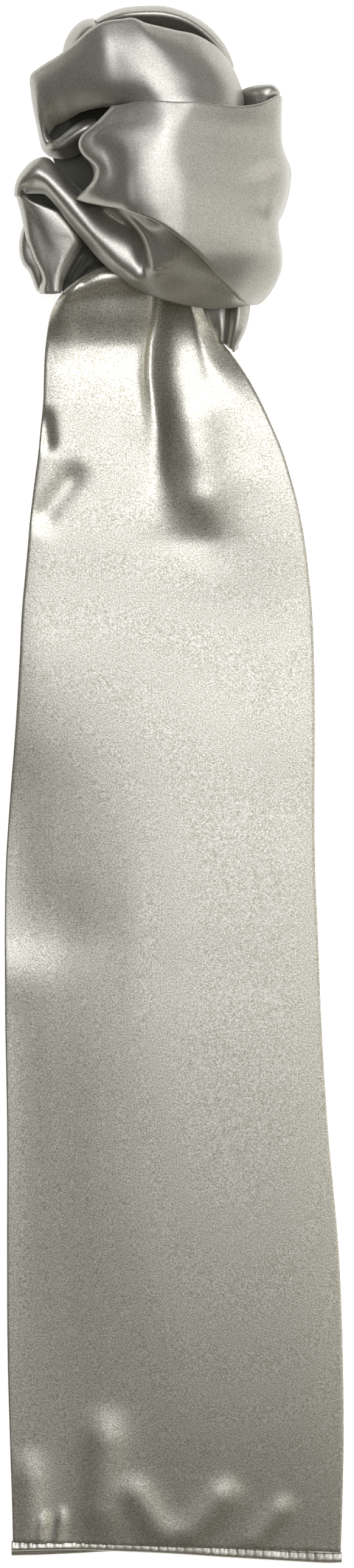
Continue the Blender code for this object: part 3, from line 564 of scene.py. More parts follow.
RIM_LINES = (
    ((-38, 364, 2), (-33, 367, 2), (-26, 369.5, 2), (-14.5, 371, 2), (-3, 370.3, 2),
     (6, 367, 2), (13.5, 362, 2), (19.5, 356, 2), (24, 349, 2), (26, 343, 2)),
    ((-40.4, 366.2, 11), (-35.7, 369.5, 12), (-28, 372.8, 13), (-16, 374.3, 14),
     (-4, 373.9, 14), (5.6, 370.7, 13), (13.5, 366, 12), (19.8, 359.9, 11),
     (24.8, 352.2, 10), (27.4, 345, 9)),
    ((-39.2, 366.9, 18), (-34.4, 369.6, 20), (-27.4, 372, 22), (-15.7, 373.4, 23),
     (-4.1, 372.8, 23), (5.1, 369.8, 22), (12.8, 365.2, 20), (19.2, 359.2, 18),
     (24.1, 351.8, 15), (26.9, 345.3, 12)),
    ((-37.8, 366.6, 21.5), (-32.9, 368.6, 23.5), (-26.6, 370.4, 25.5), (-15.4, 371.4, 26.5),
     (-4.4, 370.8, 26.2), (4.4, 368.2, 25), (11.6, 363.9, 23), (17.9, 357.9, 20.5),
     (22.9, 350.9, 17), (25.7, 345, 13.5)),
    ((-36.8, 364.8, 19), (-31.8, 366.6, 21), (-25.7, 368.2, 22.5), (-15.2, 368.7, 23),
     (-4.8, 368, 22.5), (3.4, 365.7, 21), (10, 361.8, 19.5), (16, 356, 17),
     (21, 349.3, 14.5), (24.2, 344, 12)),
    ((-35.5, 361.5, 9), (-30.4, 362.5, 10), (-24.7, 363.5, 11), (-15, 363.5, 12),
     (-5.5, 362.5, 12), (1.5, 360.5, 11), (7.5, 357.5, 10), (13.3, 352.5, 9),
     (18.7, 346.7, 9), (22.5, 342, 8)),
)
rim_grid = loft(RIM_LINES, spacing=1.0)
cloth("rim", rim_grid, knot_satin, nodes=["rear_rim"])

LOBE_LINES = (
    ((-52, 352, 2), (-51, 356, 2), (-49.5, 360, 2), (-47.5, 363, 2), (-45, 365, 2),
     (-42, 366.3, 2), (-38.5, 366.5, 2)),
    ((-54.3, 352.5, 10), (-53.3, 357, 11), (-51.5, 361, 12), (-49.2, 364.2, 12),
     (-46.4, 366.6, 12), (-43, 368.1, 12), (-39, 368.3, 11)),
    ((-53, 351.8, 18), (-51.8, 356.3, 20), (-50, 360, 21), (-47.7, 363, 21.5),
     (-45.3, 365.2, 21.5), (-42.5, 366.6, 21), (-39, 367, 19)),
    ((-50, 350.5, 23), (-48.5, 354.5, 25), (-46.5, 358, 26), (-44.5, 360.8, 26),
     (-42.5, 362.8, 25.5), (-40.3, 364.2, 24.5), (-38, 364.8, 22)),
    ((-47, 349, 24), (-45, 352.5, 25), (-43, 355.5, 26), (-41.5, 358, 26), (-40, 360, 25),
     (-38.5, 361.5, 24), (-37, 362.5, 22)),
)
lobe_grid = loft(LOBE_LINES, spacing=0.8)
cloth("lobe", lobe_grid, knot_satin, nodes=["back_lobe"])


# --- The far wall of the wrap's mouth ------------------------------------------------
# The satin of the wrap comes round behind its open mouth, at the knot's upper right, with
# its edge rolled over into a soft lip.

MOUTH_LINES = (
    ((30, 330, 3), (35, 332.5, 3), (41, 334, 3), (46, 333.5, 3), (49, 331, 4)),
    ((30, 331.8, 16), (35, 334.2, 20), (41, 335.3, 22), (46.5, 334.6, 23), (49.4, 331.4, 22)),
    ((30, 331.6, 24), (35, 333.9, 31), (41, 334.9, 34.5), (46.2, 334.1, 35), (48.8, 331.2, 33)),
    ((30.3, 330.4, 24.6), (35.2, 332.6, 31.7), (40.8, 333.4, 35), (45, 332.4, 35.3),
     (47.4, 330.6, 33.3)),
    ((31, 328, 24), (35.8, 330, 31), (40.4, 330.9, 34.4), (43.8, 330.3, 34.8), (45.8, 329, 33)),
    ((32, 323, 22), (36, 323, 28.5), (40, 323, 32), (43, 323, 32.5), (44.5, 323, 31)),
)
mouth_grid = loft(MOUTH_LINES, spacing=0.8)
cloth("mouth", mouth_grid, knot_satin, nodes=["mouth_wall"])


# --- The sash, its roll and its hood -------------------------------------------------
# The band of satin under the wrap, which holds it by its upper edge. It runs left as a
# tight roll, opens at the near end into a spoon-shaped hollow with a thin rim, and ends at
# the far left in an open hood.

SASH_SECTIONS = (
    # from the near edge across the roll, or across the hollow, and up under the wrap
    ((-73.8, 283.4, 17), (-74.1, 283.4, 19), (-74.7, 283.3, 24), (-75.6, 283.2, 28),
     (-76.6, 283, 28), (-77.6, 282.8, 23), (-77, 283, 15), (-76, 283.2, 12),
     (-75, 283.4, 11), (-74, 283.4, 10)),
    ((-73.9, 284.8, 17), (-74.3, 285.3, 20), (-75, 285.7, 27), (-76, 286, 31),
     (-76.9, 286.1, 30.8), (-77.8, 286, 25), (-77, 285.8, 14), (-76, 285.8, 11),
     (-75, 285.8, 10), (-74, 285.8, 9)),
    ((-73, 285, 18), (-73.2, 286.5, 24), (-73.8, 287.6, 31), (-74.8, 289, 34.2),
     (-75.8, 289.8, 34), (-76.9, 290.4, 28), (-76, 290, 16), (-74.8, 289.5, 13),
     (-73.6, 289, 12), (-72.4, 288.5, 11)),
    ((-70.5, 285, 20), (-70.8, 286.8, 28), (-71, 289, 33.8), (-71.4, 291.2, 36.6),
     (-72.2, 293.2, 36.4), (-73.5, 295.8, 31), (-72.5, 295, 18), (-71, 294, 15),
     (-69.5, 293, 14), (-68, 292, 13)),
    ((-67.5, 285, 22), (-67.6, 287.3, 31), (-67.6, 290.6, 35.8), (-67.6, 293.4, 38.1),
     (-67.9, 296, 38), (-69, 300.2, 33), (-68, 299, 19), (-66.5, 297.5, 16), (-65, 296, 15),
     (-63.5, 294.5, 14)),
    ((-64, 284.8, 23), (-64.2, 286.6, 31.5), (-64, 288.9, 35.9), (-64, 291.6, 38.2),
     (-63.6, 294.6, 38.1), (-63.6, 301.7, 32), (-62, 300.5, 20), (-61, 299, 17),
     (-60, 297.5, 16), (-59, 296, 15)),
    ((-61.5, 283.3, 26.5), (-61.3, 284.8, 32.6), (-61.2, 286.2, 36), (-60.8, 288.4, 38.3),
     (-59.3, 291.2, 38.2), (-58, 296, 33), (-56, 294.5, 22), (-54, 293, 19),
     (-52.5, 292, 18), (-51, 291, 18)),
    ((-57.4, 278.6, 27.5), (-56.9, 279.8, 33.2), (-56.5, 280.9, 36.3), (-55.6, 282.6, 38.3),
     (-53.8, 285.2, 38.3), (-52.6, 287.8, 34.5), (-51, 287.8, 24), (-49.5, 287, 21),
     (-48, 286.5, 21), (-46.5, 286, 22)),
    ((-52.4, 271.7, 27.5), (-51.7, 273.1, 33.4), (-51.1, 274.4, 36.4), (-50.4, 276.6, 38.5),
     (-48.6, 279.2, 38.5), (-46.8, 281.9, 35.5), (-45.5, 282.3, 27), (-44, 282.5, 25),
     (-42.5, 283, 26), (-41, 283.5, 28)),
    ((-47.4, 265.4, 27.5), (-46.5, 267.1, 33.3), (-45.8, 268.7, 36.3), (-45.4, 271.2, 38.4),
     (-43.6, 274.6, 38), (-42, 278, 34), (-41, 279.5, 28), (-39.5, 281, 28),
     (-38, 282.5, 31), (-36.5, 284, 34)),
    ((-42.3, 259.2, 27.5), (-41, 261.4, 33.3), (-40.5, 263, 35.8), (-40.4, 265.6, 37.9),
     (-39, 270.2, 37.1), (-37.6, 274.5, 32.5), (-36, 277.5, 29.5), (-34.5, 279.5, 31),
     (-33, 281, 36), (-31.5, 283, 40)),
    ((-36.7, 252.5, 27.5), (-34.9, 254.8, 33), (-34, 256.8, 35.6), (-33.2, 259.6, 36.9),
     (-32.4, 264.8, 36.2), (-31.2, 269.8, 31.5), (-29.6, 274, 29.5), (-28.3, 276.4, 38.5),
     (-27, 278, 42), (-25.5, 280.5, 46)),
    ((-30.6, 247, 27.5), (-28.9, 249.2, 32.8), (-27.9, 251.4, 36), (-27.6, 256, 36.7),
     (-27.2, 262.3, 35.7), (-25.8, 267.4, 30.5), (-23.9, 270.3, 29), (-22.5, 271.8, 41.5),
     (-21, 273.2, 42.5), (-18, 277, 51)),
    ((-25, 243, 27.5), (-23.4, 245.2, 32.5), (-22.4, 247.4, 35.8), (-22.4, 253, 36.6),
     (-21.9, 258.9, 35.5), (-20, 263.9, 30.5), (-18.7, 265.8, 29.5), (-17.5, 266.7, 42.5),
     (-15.8, 268, 42.8), (-11.5, 271.5, 53)),
    ((-20.5, 239.8, 27.5), (-19.6, 241.8, 32), (-18.9, 244.4, 35.6), (-18.7, 248.9, 36.4),
     (-18.9, 253.6, 35), (-17, 258.2, 31), (-15.8, 259.9, 30.5), (-14.3, 260.9, 42.5),
     (-12.3, 261.8, 43), (-1.5, 270.5, 55)),
    ((-16, 237.3, 27), (-16, 239.6, 31), (-16, 243, 34.8), (-16, 246.3, 36),
     (-16.2, 249.4, 35.2), (-15.2, 252.4, 32.5), (-14.2, 253.8, 33), (-12.6, 254.8, 42.3),
     (-10.6, 255.6, 43.5), (3.5, 267.5, 56)),
    ((-12, 235.8, 29), (-12.3, 238.5, 32), (-12.6, 241.3, 35), (-13, 243.8, 37),
     (-13, 245.6, 38.5), (-12.6, 247.2, 39.9), (-11.8, 248.6, 41.3), (-10.8, 249.9, 42.8),
     (-9, 251.7, 44.8), (9, 264, 56)),
    ((-5, 233.3, 30), (-4.7, 236.5, 33.5), (-4.3, 239.6, 36), (-3.8, 242.3, 38),
     (-3, 244.7, 39.8), (-1.9, 246.9, 41.8), (-0.4, 249, 44), (1.3, 250.8, 46.2),
     (3.5, 252.4, 48.2), (14.5, 259, 54.5)),
    ((6, 230.7, 28), (6.6, 233.3, 31.5), (7.3, 235.8, 34.5), (8.2, 238.1, 37),
     (9.3, 240.2, 39), (10.6, 242, 41), (12, 243.5, 43), (13.5, 244.7, 44.8),
     (15.2, 245.6, 46.4), (22.5, 250, 50)),
    ((18, 229.4, 24), (18.6, 231, 27), (19.3, 232.5, 29.5), (20, 234, 32), (20.9, 235.3, 34),
     (21.9, 236.5, 35.8), (22.9, 237.5, 37.5), (23.9, 238.3, 38.8), (25, 239, 39.8),
     (29.5, 243, 43)),
    ((28.5, 230.1, 19), (28.8, 231, 22), (29.1, 231.7, 24), (29.4, 232.4, 26),
     (29.7, 233, 27.5), (30, 233.5, 28.5), (30.4, 234, 29.5), (30.8, 234.4, 30),
     (31.2, 234.7, 30.5), (31.6, 235, 31)),
    ((34, 231, 13), (34.1, 231.4, 15), (34.2, 231.8, 16.5), (34.3, 232.2, 18),
     (34.4, 232.6, 19), (34.5, 233, 20), (34.6, 233.4, 20.5), (34.7, 233.8, 21),
     (34.8, 234.2, 21.5), (34.9, 234.6, 22)),
)
# the raised rim of the spoon-shaped hollow
SPOON_RIM = ((-27, 275.3), (-22.5, 272.1), (-18.5, 268), (-15, 262.8), (-12.8, 257.5),
             (-12.2, 253.5), (-13.4, 249.4), (-16.4, 245.8), (-20.5, 243.8), (-25, 244.5),
             (-29, 248.5))
sash_grid = loft(list(zip(*SASH_SECTIONS)), spacing=0.8)
sash_grid = creased(sash_grid, ((SPOON_RIM, 3.0, 1.5),))
sash_grid = eased(sash_grid, rounds=14)
sash_grid = turned(sash_grid, "first", depth=8, inward=3, bulge=0.4)
cloth("sash", sash_grid, knot_satin, nodes=["sash"])


# --- The fan below the hood ----------------------------------------------------------
# The turn that comes out of the hood, spreads in shallow pleats and narrows to its foot,
# the back layer that shows past its left side, and the matt inside of the hood, whose dark
# colour is painted shade.

FAN_LINES = (
    ((-77.8, 286.2, 18), (-76, 280.5, 19), (-74.8, 276.5, 18.5), (-73.8, 271.5, 18),
     (-73, 267.5, 17.5), (-72.2, 263, 17.5), (-70.5, 258.5, 17), (-68.8, 253.8, 16.5),
     (-66.8, 250, 16), (-65.2, 246.5, 15.5), (-64.4, 243, 15.5), (-65.5, 239.5, 15.5),
     (-65.8, 236, 15.5)),
    ((-75.6, 284.6, 23.8), (-74, 280, 23.8), (-72.7, 276, 23.6), (-71.5, 271.5, 23.4),
     (-70.5, 266.5, 23.2), (-69.5, 262, 23), (-68, 257.5, 22.8), (-66.5, 253, 22.6),
     (-64.8, 249, 22.4), (-63.4, 245.5, 22.3), (-62.8, 242, 22.2), (-63.2, 239, 22.2),
     (-63.4, 236, 22.2)),
    ((-73.3, 283, 25.4), (-71.4, 278.7, 25.3), (-69.7, 275.3, 25.1), (-67.8, 271.8, 24.9),
     (-66.2, 268, 24.6), (-64.9, 264, 24.4), (-63.6, 259, 24.1), (-62.8, 254.5, 23.8),
     (-62.1, 250, 23.5), (-61.5, 246, 23.3), (-61.2, 242.5, 23.1), (-61.2, 239, 23),
     (-61.3, 236, 23)),
    ((-70.5, 281, 26.6), (-67.5, 275.5, 26.4), (-64.5, 271, 26.2), (-62.3, 266.5, 25.9),
     (-60.3, 262, 25.5), (-58.7, 258, 25.1), (-58.3, 254.5, 24.7), (-58.8, 250.5, 24.3),
     (-59.6, 246.5, 24), (-60, 242.5, 23.8), (-59.9, 239, 23.6), (-59.7, 236, 23.5)),
    ((-66, 279, 27.1), (-61, 274, 27), (-57, 269.5, 26.8), (-53.8, 265.5, 26.5),
     (-51.5, 262.3, 26.1), (-52.5, 258.5, 25.7), (-54.3, 254.5, 25.2), (-56, 250.3, 24.8),
     (-57.3, 246, 24.4), (-58, 242, 24.1), (-58.2, 239, 23.9), (-58.2, 236.2, 23.8)),
    ((-58.5, 276.3, 26.6), (-54.5, 271.8, 26.5), (-51.3, 267.5, 26.3), (-49.3, 264, 26),
     (-49, 261.5, 25.7), (-50.5, 258.2, 25.2), (-52.5, 254.3, 24.7), (-54.6, 250.2, 24.2),
     (-56.1, 246, 23.8), (-56.9, 242, 23.6), (-57.1, 239, 23.4), (-57, 236.4, 23.2)),
    ((-54, 275, 22), (-50.5, 270, 21.5), (-47.5, 265.5, 21), (-45.6, 262, 20.5),
     (-45.6, 259, 20), (-47.6, 255.5, 19.5), (-50, 252, 19), (-52.3, 248.5, 18.5),
     (-54, 245, 18), (-55, 241.5, 18), (-55.6, 239, 18), (-55.9, 236.6, 18)),
)
fan_grid = loft(FAN_LINES, spacing=0.8, half=0.6)
fan_grid = turned(fan_grid, "first last start", depth=6, inward=2, bulge=0.3)
fan_grid = turned(fan_grid, "end", depth=22, inward=3, bulge=0.3)
cloth("fan", fan_grid, knot_satin, nodes=["fan"],
      half=0.6)

FAN_BACK_LINES = (
    ((-72.5, 269.5, 9), (-74.2, 265.5, 9.5), (-74.9, 262, 10), (-75.1, 258, 10),
     (-74.6, 254, 10), (-73.2, 250.3, 10), (-70.7, 247.3, 10), (-69.1, 244, 10),
     (-68.1, 241, 9), (-66.6, 237.6, 8)),
    ((-71.8, 269.5, 12.5), (-73.2, 265, 13), (-73.6, 261.7, 13.4), (-73.7, 258, 13.4),
     (-73.1, 254.3, 13.4), (-71.8, 251.2, 13.2), (-69.6, 248.4, 13), (-68.2, 244.9, 12.5),
     (-67.3, 241.6, 11.5), (-66.2, 238, 10)),
    ((-70.5, 269, 13), (-71.3, 264.5, 13.5), (-71.3, 261, 14), (-71, 257.6, 14),
     (-70, 254.5, 14), (-68.8, 251.6, 13.8), (-67.4, 249, 13.5), (-66.6, 245.6, 13),
     (-66.2, 242, 12), (-65.7, 238.3, 10.5)),
    ((-68, 268, 13), (-68, 264, 13.4), (-67.8, 260.5, 13.8), (-67.4, 257.3, 13.8),
     (-66.4, 254.4, 13.6), (-65.4, 251.6, 13.4), (-64.6, 249, 13.2), (-64.4, 245.8, 12.5),
     (-64.4, 242.3, 11.5), (-64.6, 238.5, 10)),
)
fan_back_grid = loft(FAN_BACK_LINES, spacing=0.8, half=0.6)
fan_back_grid = turned(fan_back_grid, "first end", depth=10, inward=2)
cloth("fan_back", fan_back_grid, knot_satin, nodes=["fan_back"],
      half=0.6)

# the satin's reverse: short floats scatter the light, so it looks matt; its dark colour is
# painted shade for the deep folds inside the knot
matt_reverse_painted_shade = satin("matt_satin_reverse_painted_shade", "#5c5b50", "#504f45")
reverse = matt_reverse_painted_shade.node_tree.nodes["Principled BSDF"]
reverse.inputs["Metallic"].default_value = 0.35
reverse.inputs["Roughness"].default_value = 0.6

HOOD_LINES = (
    ((-76, 287.5, 20), (-72, 290.5, 22), (-67, 292, 23), (-61, 288, 22), (-54, 282, 20)),
    ((-75.3, 286.5, 14), (-71.5, 287, 12), (-66.5, 286, 10), (-60, 282, 10), (-53, 276, 12)),
    ((-75, 284, 11), (-71, 281, 8), (-65, 276.5, 6), (-59, 273, 6), (-52, 268, 8)),
)
hood_grid = loft(HOOD_LINES, spacing=0.9, half=0.6)
cloth("hood_inside", hood_grid, matt_reverse_painted_shade, nodes=["hood_inside"],
      half=0.6)


# --- Folds deep in the knot's left side ----------------------------------------------
# Parts of the inner turns that show, reverse side out and in deep shade, between the
# turns above; their dark colour is painted shade. The lower ones are pressed into three
# small pleats.

INNER_LINES = (
    ((-63, 321, 10), (-61, 308, 6), (-58, 297, 6), (-52, 283, 9)),
    ((-58, 326, 10), (-56, 310, 7), (-52, 295, 11), (-47, 281, 14)),
    ((-53, 323, 7), (-49, 307, 9), (-45, 293, 15), (-42, 280, 20)),
    ((-42, 329, 12), (-40, 310, 14), (-37, 295, 22), (-35, 280, 26)),
    ((-28, 332, 20), (-29, 312, 22), (-30, 296, 27), (-30, 280, 30)),
)
inner_grid = loft(INNER_LINES, spacing=1.2, half=0.6)
cloth("inner_fold", inner_grid, matt_reverse_painted_shade, nodes=["inner_fold"],
      half=0.6)

LOWER_LINES = (
    ((-56, 243, 4), (-53.5, 249, 5), (-50.5, 255, 7), (-47.5, 261, 9), (-44, 267, 11)),
    ((-55.3, 238, 5), (-51, 247, 8.5), (-46.5, 253.5, 11), (-42, 259.5, 14), (-38, 265, 16)),
    ((-54.5, 236.5, 5), (-48, 244, 7.5), (-42.5, 249.5, 10.5), (-38, 254, 14), (-33, 259, 17)),
    ((-52, 234, 4), (-45, 238, 5), (-39, 241.5, 6), (-33, 245, 8), (-27, 250, 11)),
)
lower_grid = loft(LOWER_LINES, spacing=0.8, half=0.6)
lower_grid = creased(lower_grid, (
    (((-53, 240), (-49.5, 249), (-45, 257)), 1.3, 2.2),
    (((-52, 238.5), (-46, 247), (-39, 254)), 1.2, 2.0),
    (((-50, 238), (-43, 243.5), (-36, 250)), 1.4, 1.6),
))
cloth("lower_fold", lower_grid, matt_reverse_painted_shade, nodes=["lower_fold"],
      half=0.6)


# --- The turns inside the knot -------------------------------------------------------
# The scarf's inner turns, heaped into one dome that fills the knot, stands on the board
# and carries the rest. Only slivers of it show.

INNER_TURNS = (
    ((-40, 352, 8), (-30, 355, 28), (-15, 357, 36), (0, 356, 34), (10, 352, 24),
     (18, 346, 8)),
    ((-58, 342, 8), (-50, 343, 34), (-30, 345, 44), (-8, 345, 47), (12, 344, 40),
     (24, 338, 10)),
    ((-62, 334, 8), (-52, 332, 28), (-36, 330, 30), (-14, 332, 46), (14, 332, 44),
     (29, 328, 14)),
    ((-58, 322, 6), (-48, 322, 10), (-34, 322, 24), (-12, 321, 54), (16, 320, 50),
     (44, 320, 16)),
    ((-54, 304, 3), (-46, 305, 6), (-36, 306, 24), (-12, 306, 56), (18, 306, 50),
     (46, 304, 16)),
    ((-56, 294, 3), (-48, 292, 5), (-36, 292, 21), (-10, 292, 54), (18, 290, 50),
     (48, 290, 16)),
    ((-58, 272, 4), (-48, 276, 9), (-34, 280, 15), (-8, 279, 48), (18, 275, 48),
     (43, 274, 14)),
    ((-54, 266, 4), (-46, 264, 10), (-32, 262, 13), (-8, 264, 26), (14, 262, 42),
     (42, 260, 12)),
    ((-50, 256, 3), (-42, 252, 7), (-30, 250, 11), (-10, 250, 18), (8, 248, 28),
     (36, 248, 10)),
    ((-44, 248, 3), (-36, 244, 4), (-26, 242, 9), (-14, 240, 14), (6, 237, 13),
     (28, 238, 5)),
)
turns_grid = loft(INNER_TURNS, spacing=2.5)
turns_grid = turned(turns_grid, "first last start end", depth=60, inward=-1, bulge=0.5)
# the dome is drawn in the dark reverse: painted shade for the knot's inside
cloth("inner_turns", turns_grid, matt_reverse_painted_shade, nodes=["core"])


# --- The layer and the loop below the knot -------------------------------------------
# A flat layer and a rolled loop of the same satin that come out under the knot, right of
# the tail's shoulder, and lie on the board.

UNDER_LAYER_LINES = (
    ((0, 238, 5), (2, 229, 5), (5, 223, 4.5), (8, 219.5, 4)),
    ((10, 238, 8), (11, 228, 8), (13, 221, 7.5), (15, 215, 6)),
    ((18, 237, 10), (18.5, 228, 10), (19, 221, 9.5), (19.5, 214, 8)),
    ((22.5, 236, 10.5), (22.5, 228, 10.5), (22.2, 220, 11), (21.8, 212.5, 10)),
    ((26.5, 235, 7), (26.3, 228, 7), (25.3, 220, 7), (24, 211.2, 6)),
    ((29, 235, 4), (28.5, 228, 4), (27, 220, 4), (25.5, 210.7, 3.5)),
)
under_grid = loft(UNDER_LAYER_LINES, spacing=0.9, half=0.6)
cloth("under_layer", under_grid, knot_satin, nodes=["under_layer"],
      half=0.6)

UNDER_LOOP_LINES = (
    ((26.8, 235, 9), (26.3, 228, 9), (25.3, 220, 9), (24.2, 212, 8)),
    ((27.6, 235, 13), (27.3, 228, 13), (26.4, 219.5, 13), (25, 210.5, 11)),
    ((30, 234.6, 16), (29.7, 227.7, 16), (28.6, 219, 15.5), (26.3, 209.6, 13)),
    ((33, 233.6, 15), (32.6, 227, 15), (31.1, 218.5, 14.5), (27.6, 208.6, 11.5)),
    ((35.4, 232.4, 11), (34.8, 226, 11), (33, 218.8, 10.5), (30, 212.6, 9),
     (27.2, 208.1, 7)),
)
loop_grid = loft(UNDER_LOOP_LINES, spacing=0.9, half=0.6)
loop_grid = turned(loop_grid, "last end", depth=8, inward=2, bulge=0.3)
cloth("under_loop", loop_grid, knot_satin, nodes=["under_loop"],
      half=0.6)


# --- The tail ------------------------------------------------------------------------
# The long free end of the tube: two panels of satin pressed together, gathered where they
# come out of the knot and lying flat towards the hem, with a soft fold at each side.

# pressed flat, so its floats lie straighter: a little glossier than the knot; its lighter colour
# is painted light on the tail
tail_satin = satin("silver_polyester_satin_tail", "#dcd9cd", "#98937f", grain_mm=0.7,
                   grain_depth=0.05, ripple_depth=0.006, roughness=0.37)

TAIL_SECTIONS = (
    # y at the left and right, rise of the middle, the places across and their heights
    (239, 239, 13, (-52.5, -50, -43, -33.5, -18, -7, -1, 4, 8, 10),
     (10, 13.5, 16.5, 17.5, 18, 13, 15, 17, 16, 13)),
    (236, 236, 12, (-55, -52, -44, -34, -18, -7, -1, 4, 8, 10),
     (14, 18, 20.5, 21.5, 21, 15, 17, 19, 18, 15)),
    (230, 230, 5, (-59, -56, -45, -30, -14, -8, -1, 5, 9, 12.5),
     (13, 16.5, 17.6, 17.6, 16.9, 12, 14.5, 16.5, 15.5, 13)),
    (225, 225, 1, (-61, -58, -46, -29, -14, -9.5, -1, 6, 11, 14.5),
     (12, 14.8, 15.5, 15.4, 14.4, 9.5, 12.5, 14.6, 13.8, 11)),
    (219, 219, 0, (-62.2, -58.5, -46, -29, -15, -11, -1.5, 7, 13, 17.5),
     (11.4, 13.2, 13.5, 13.3, 12.4, 7.8, 11.2, 12.9, 12.2, 9.6)),
    (212, 212, 0, (-63.1, -59, -46, -29, -16, -12.3, -2, 8, 16.5, 22.3),
     (11.4, 12.1, 12.1, 11.8, 11, 7.2, 10.8, 12, 11.2, 8.4)),
    (205, 205, 0, (-63.7, -59.7, -46, -29, -17, -12.6, -2, 9, 20, 28.2),
     (11.4, 11.7, 11.8, 11.6, 10.8, 7.4, 11.1, 11.9, 11, 8)),
    (196, 196, 0, (-64, -60, -46, -29, -17.5, -12.6, -2, 10, 25, 34.3),
     (11.4, 11.7, 11.9, 11.8, 11.1, 7.9, 11.6, 12.4, 12.3, 10.2)),
    (185, 185, 0, (-64.3, -60.3, -46, -29, -17.5, -11, -1, 10, 32, 40.3),
     (11.3, 11.6, 11.8, 11.7, 11.2, 8.6, 11.6, 12.4, 12.8, 11.8)),
    (172, 172, 0, (-65.5, -61.5, -48, -30, -17.5, -9, -1, 11, 38, 46.3),
     (11, 11.3, 11.4, 11.4, 10.9, 8.8, 11, 12.1, 12.8, 12.2)),
    (160, 160, 0, (-66.6, -62.6, -49, -31, -18, -9, -1, 13, 43, 51.3),
     (10.7, 11, 11.1, 11.1, 10.6, 9, 10.3, 12, 12.5, 12)),
    (148, 148, 0, (-68.2, -64.2, -50, -31, -18, -8.5, 0, 20, 47, 55),
     (10.4, 10.7, 10.8, 10.8, 10.4, 9, 9.6, 12, 12.2, 11.8)),
    (136, 136, 0, (-69.7, -65.7, -50, -31, -18, -6, 3, 18, 50, 58.3),
     (10.1, 10.4, 10.5, 10.5, 10.2, 9.3, 9.6, 11.3, 11.8, 11.5)),
    (124, 124, 0, (-71, -67, -51, -31, -14, -3, 8, 22, 52, 60.8),
     (9.9, 10.1, 10.2, 10.2, 10.1, 9.8, 10, 11, 11.3, 11)),
    (113, 113, 0, (-71.9, -67.9, -52, -32, -14, -1, 12, 28, 54, 62.5),
     (9.6, 9.8, 9.9, 9.9, 9.9, 9.9, 10, 10.6, 10.8, 10.6)),
    (101, 101, 0, (-73, -69, -52, -32, -14, 0, 14, 30, 56, 63.9),
     (9.2, 9.4, 9.5, 9.5, 9.6, 9.7, 9.9, 10.1, 10.2, 10)),
    (86, 86, 0, (-74.4, -70.5, -54, -34, -16, 0, 15, 32, 57, 65.3),
     (8.8, 9, 9.1, 9.1, 9.2, 9.3, 9.4, 9.5, 9.6, 9.4)),
    (58, 56, 0, (-75.9, -71.6, -54, -34, -16, -1, 15, 33, 58, 66.6),
     (8, 8.3, 8.5, 8.5, 8.6, 8.7, 8.8, 8.9, 9, 8.7)),
    (25, 19, 0, (-77.9, -73.5, -55, -35, -17, -2, 14, 33, 58, 66.9),
     (6.2, 6.5, 7.2, 7.7, 8.1, 8.3, 8.5, 8.6, 8.6, 8.3)),
    (-7, -12, 0, (-80.4, -76, -57, -36, -18, -3, 13, 32, 58, 66.7),
     (3.6, 3.9, 5.4, 6.8, 7.6, 8, 8.2, 8.3, 8.2, 7.9)),
    (-40, -42, 0, (-82.5, -78, -58, -37, -19, -3, 13, 32, 58, 67.1),
     (2.4, 2.5, 4.2, 6, 7.3, 7.9, 8.1, 8.2, 8.1, 7.8)),
    (-73, -73, 0, (-83, -78.5, -58, -37, -19, -3, 13, 33, 59, 68.4),
     (2.4, 2.4, 3.4, 5.6, 7.3, 7.9, 8.1, 8.2, 8, 7.7)),
    (-92, -92, 0, (-82.9, -78.4, -58, -37, -19, -3, 13.5, 33.5, 60, 69.1),
     (3.2, 3.3, 4.2, 6, 7.4, 7.9, 8.1, 8.2, 8, 7.7)),
    (-112, -112, 0, (-82.8, -78.3, -58, -37, -19, -3, 14, 34, 61, 69.9),
     (2.7, 2.8, 4.3, 6.2, 7.5, 8, 8.2, 8.3, 8, 7.7)),
    (-165, -165, 0, (-81.9, -77.4, -57, -36, -18, -2, 15, 35, 64, 73.1),
     (2.4, 2.5, 4.2, 6.2, 7.4, 8, 8.2, 8.3, 7.9, 7.5)),
    (-229, -229, 0, (-81.9, -77.4, -57, -35, -17, 0, 18, 39, 69, 78.7),
     (2.4, 2.5, 3.9, 5.8, 7, 7.5, 7.8, 7.8, 7.3, 6.9)),
    (-274, -274, 0, (-81.7, -77, -56, -34, -16, 0, 18, 40, 71, 80.4),
     (2.4, 2.5, 3.6, 5.2, 6.2, 6.8, 7, 7, 6.6, 6.2)),
    (-320, -320, 0, (-80.4, -76, -55, -34, -16, 0, 18, 40, 71, 80.9),
     (2.4, 2.5, 3.2, 4.2, 4.9, 5.3, 5.5, 5.5, 5.2, 4.9)),
    (-350, -352, 0, (-79.4, -75, -55, -34, -16, 0, 18, 40, 71, 80.1),
     (2.4, 2.5, 2.8, 3.2, 3.5, 3.6, 3.7, 3.7, 3.6, 3.5)),
    (-366, -371, 0, (-79, -75, -55, -34, -16, 0, 18, 40, 71, 79.5),
     (2.5, 2.5, 2.5, 2.5, 2.5, 2.5, 2.5, 2.5, 2.5, 2.5)),
)


def panel_lines(sections, height=None):
    """Lines down a panel of the tail, one for each place across, at its heights or at one."""
    lines = []
    for k in range(len(sections[0][3])):
        line = []
        for left, right, rise, places, levels in sections:
            share = (places[k] - places[0]) / (places[-1] - places[0])
            y = left + (right - left) * share + 4 * rise * share * (1 - share)
            line.append((places[k], y, height or levels[k]))
        lines.append(line)
    return lines


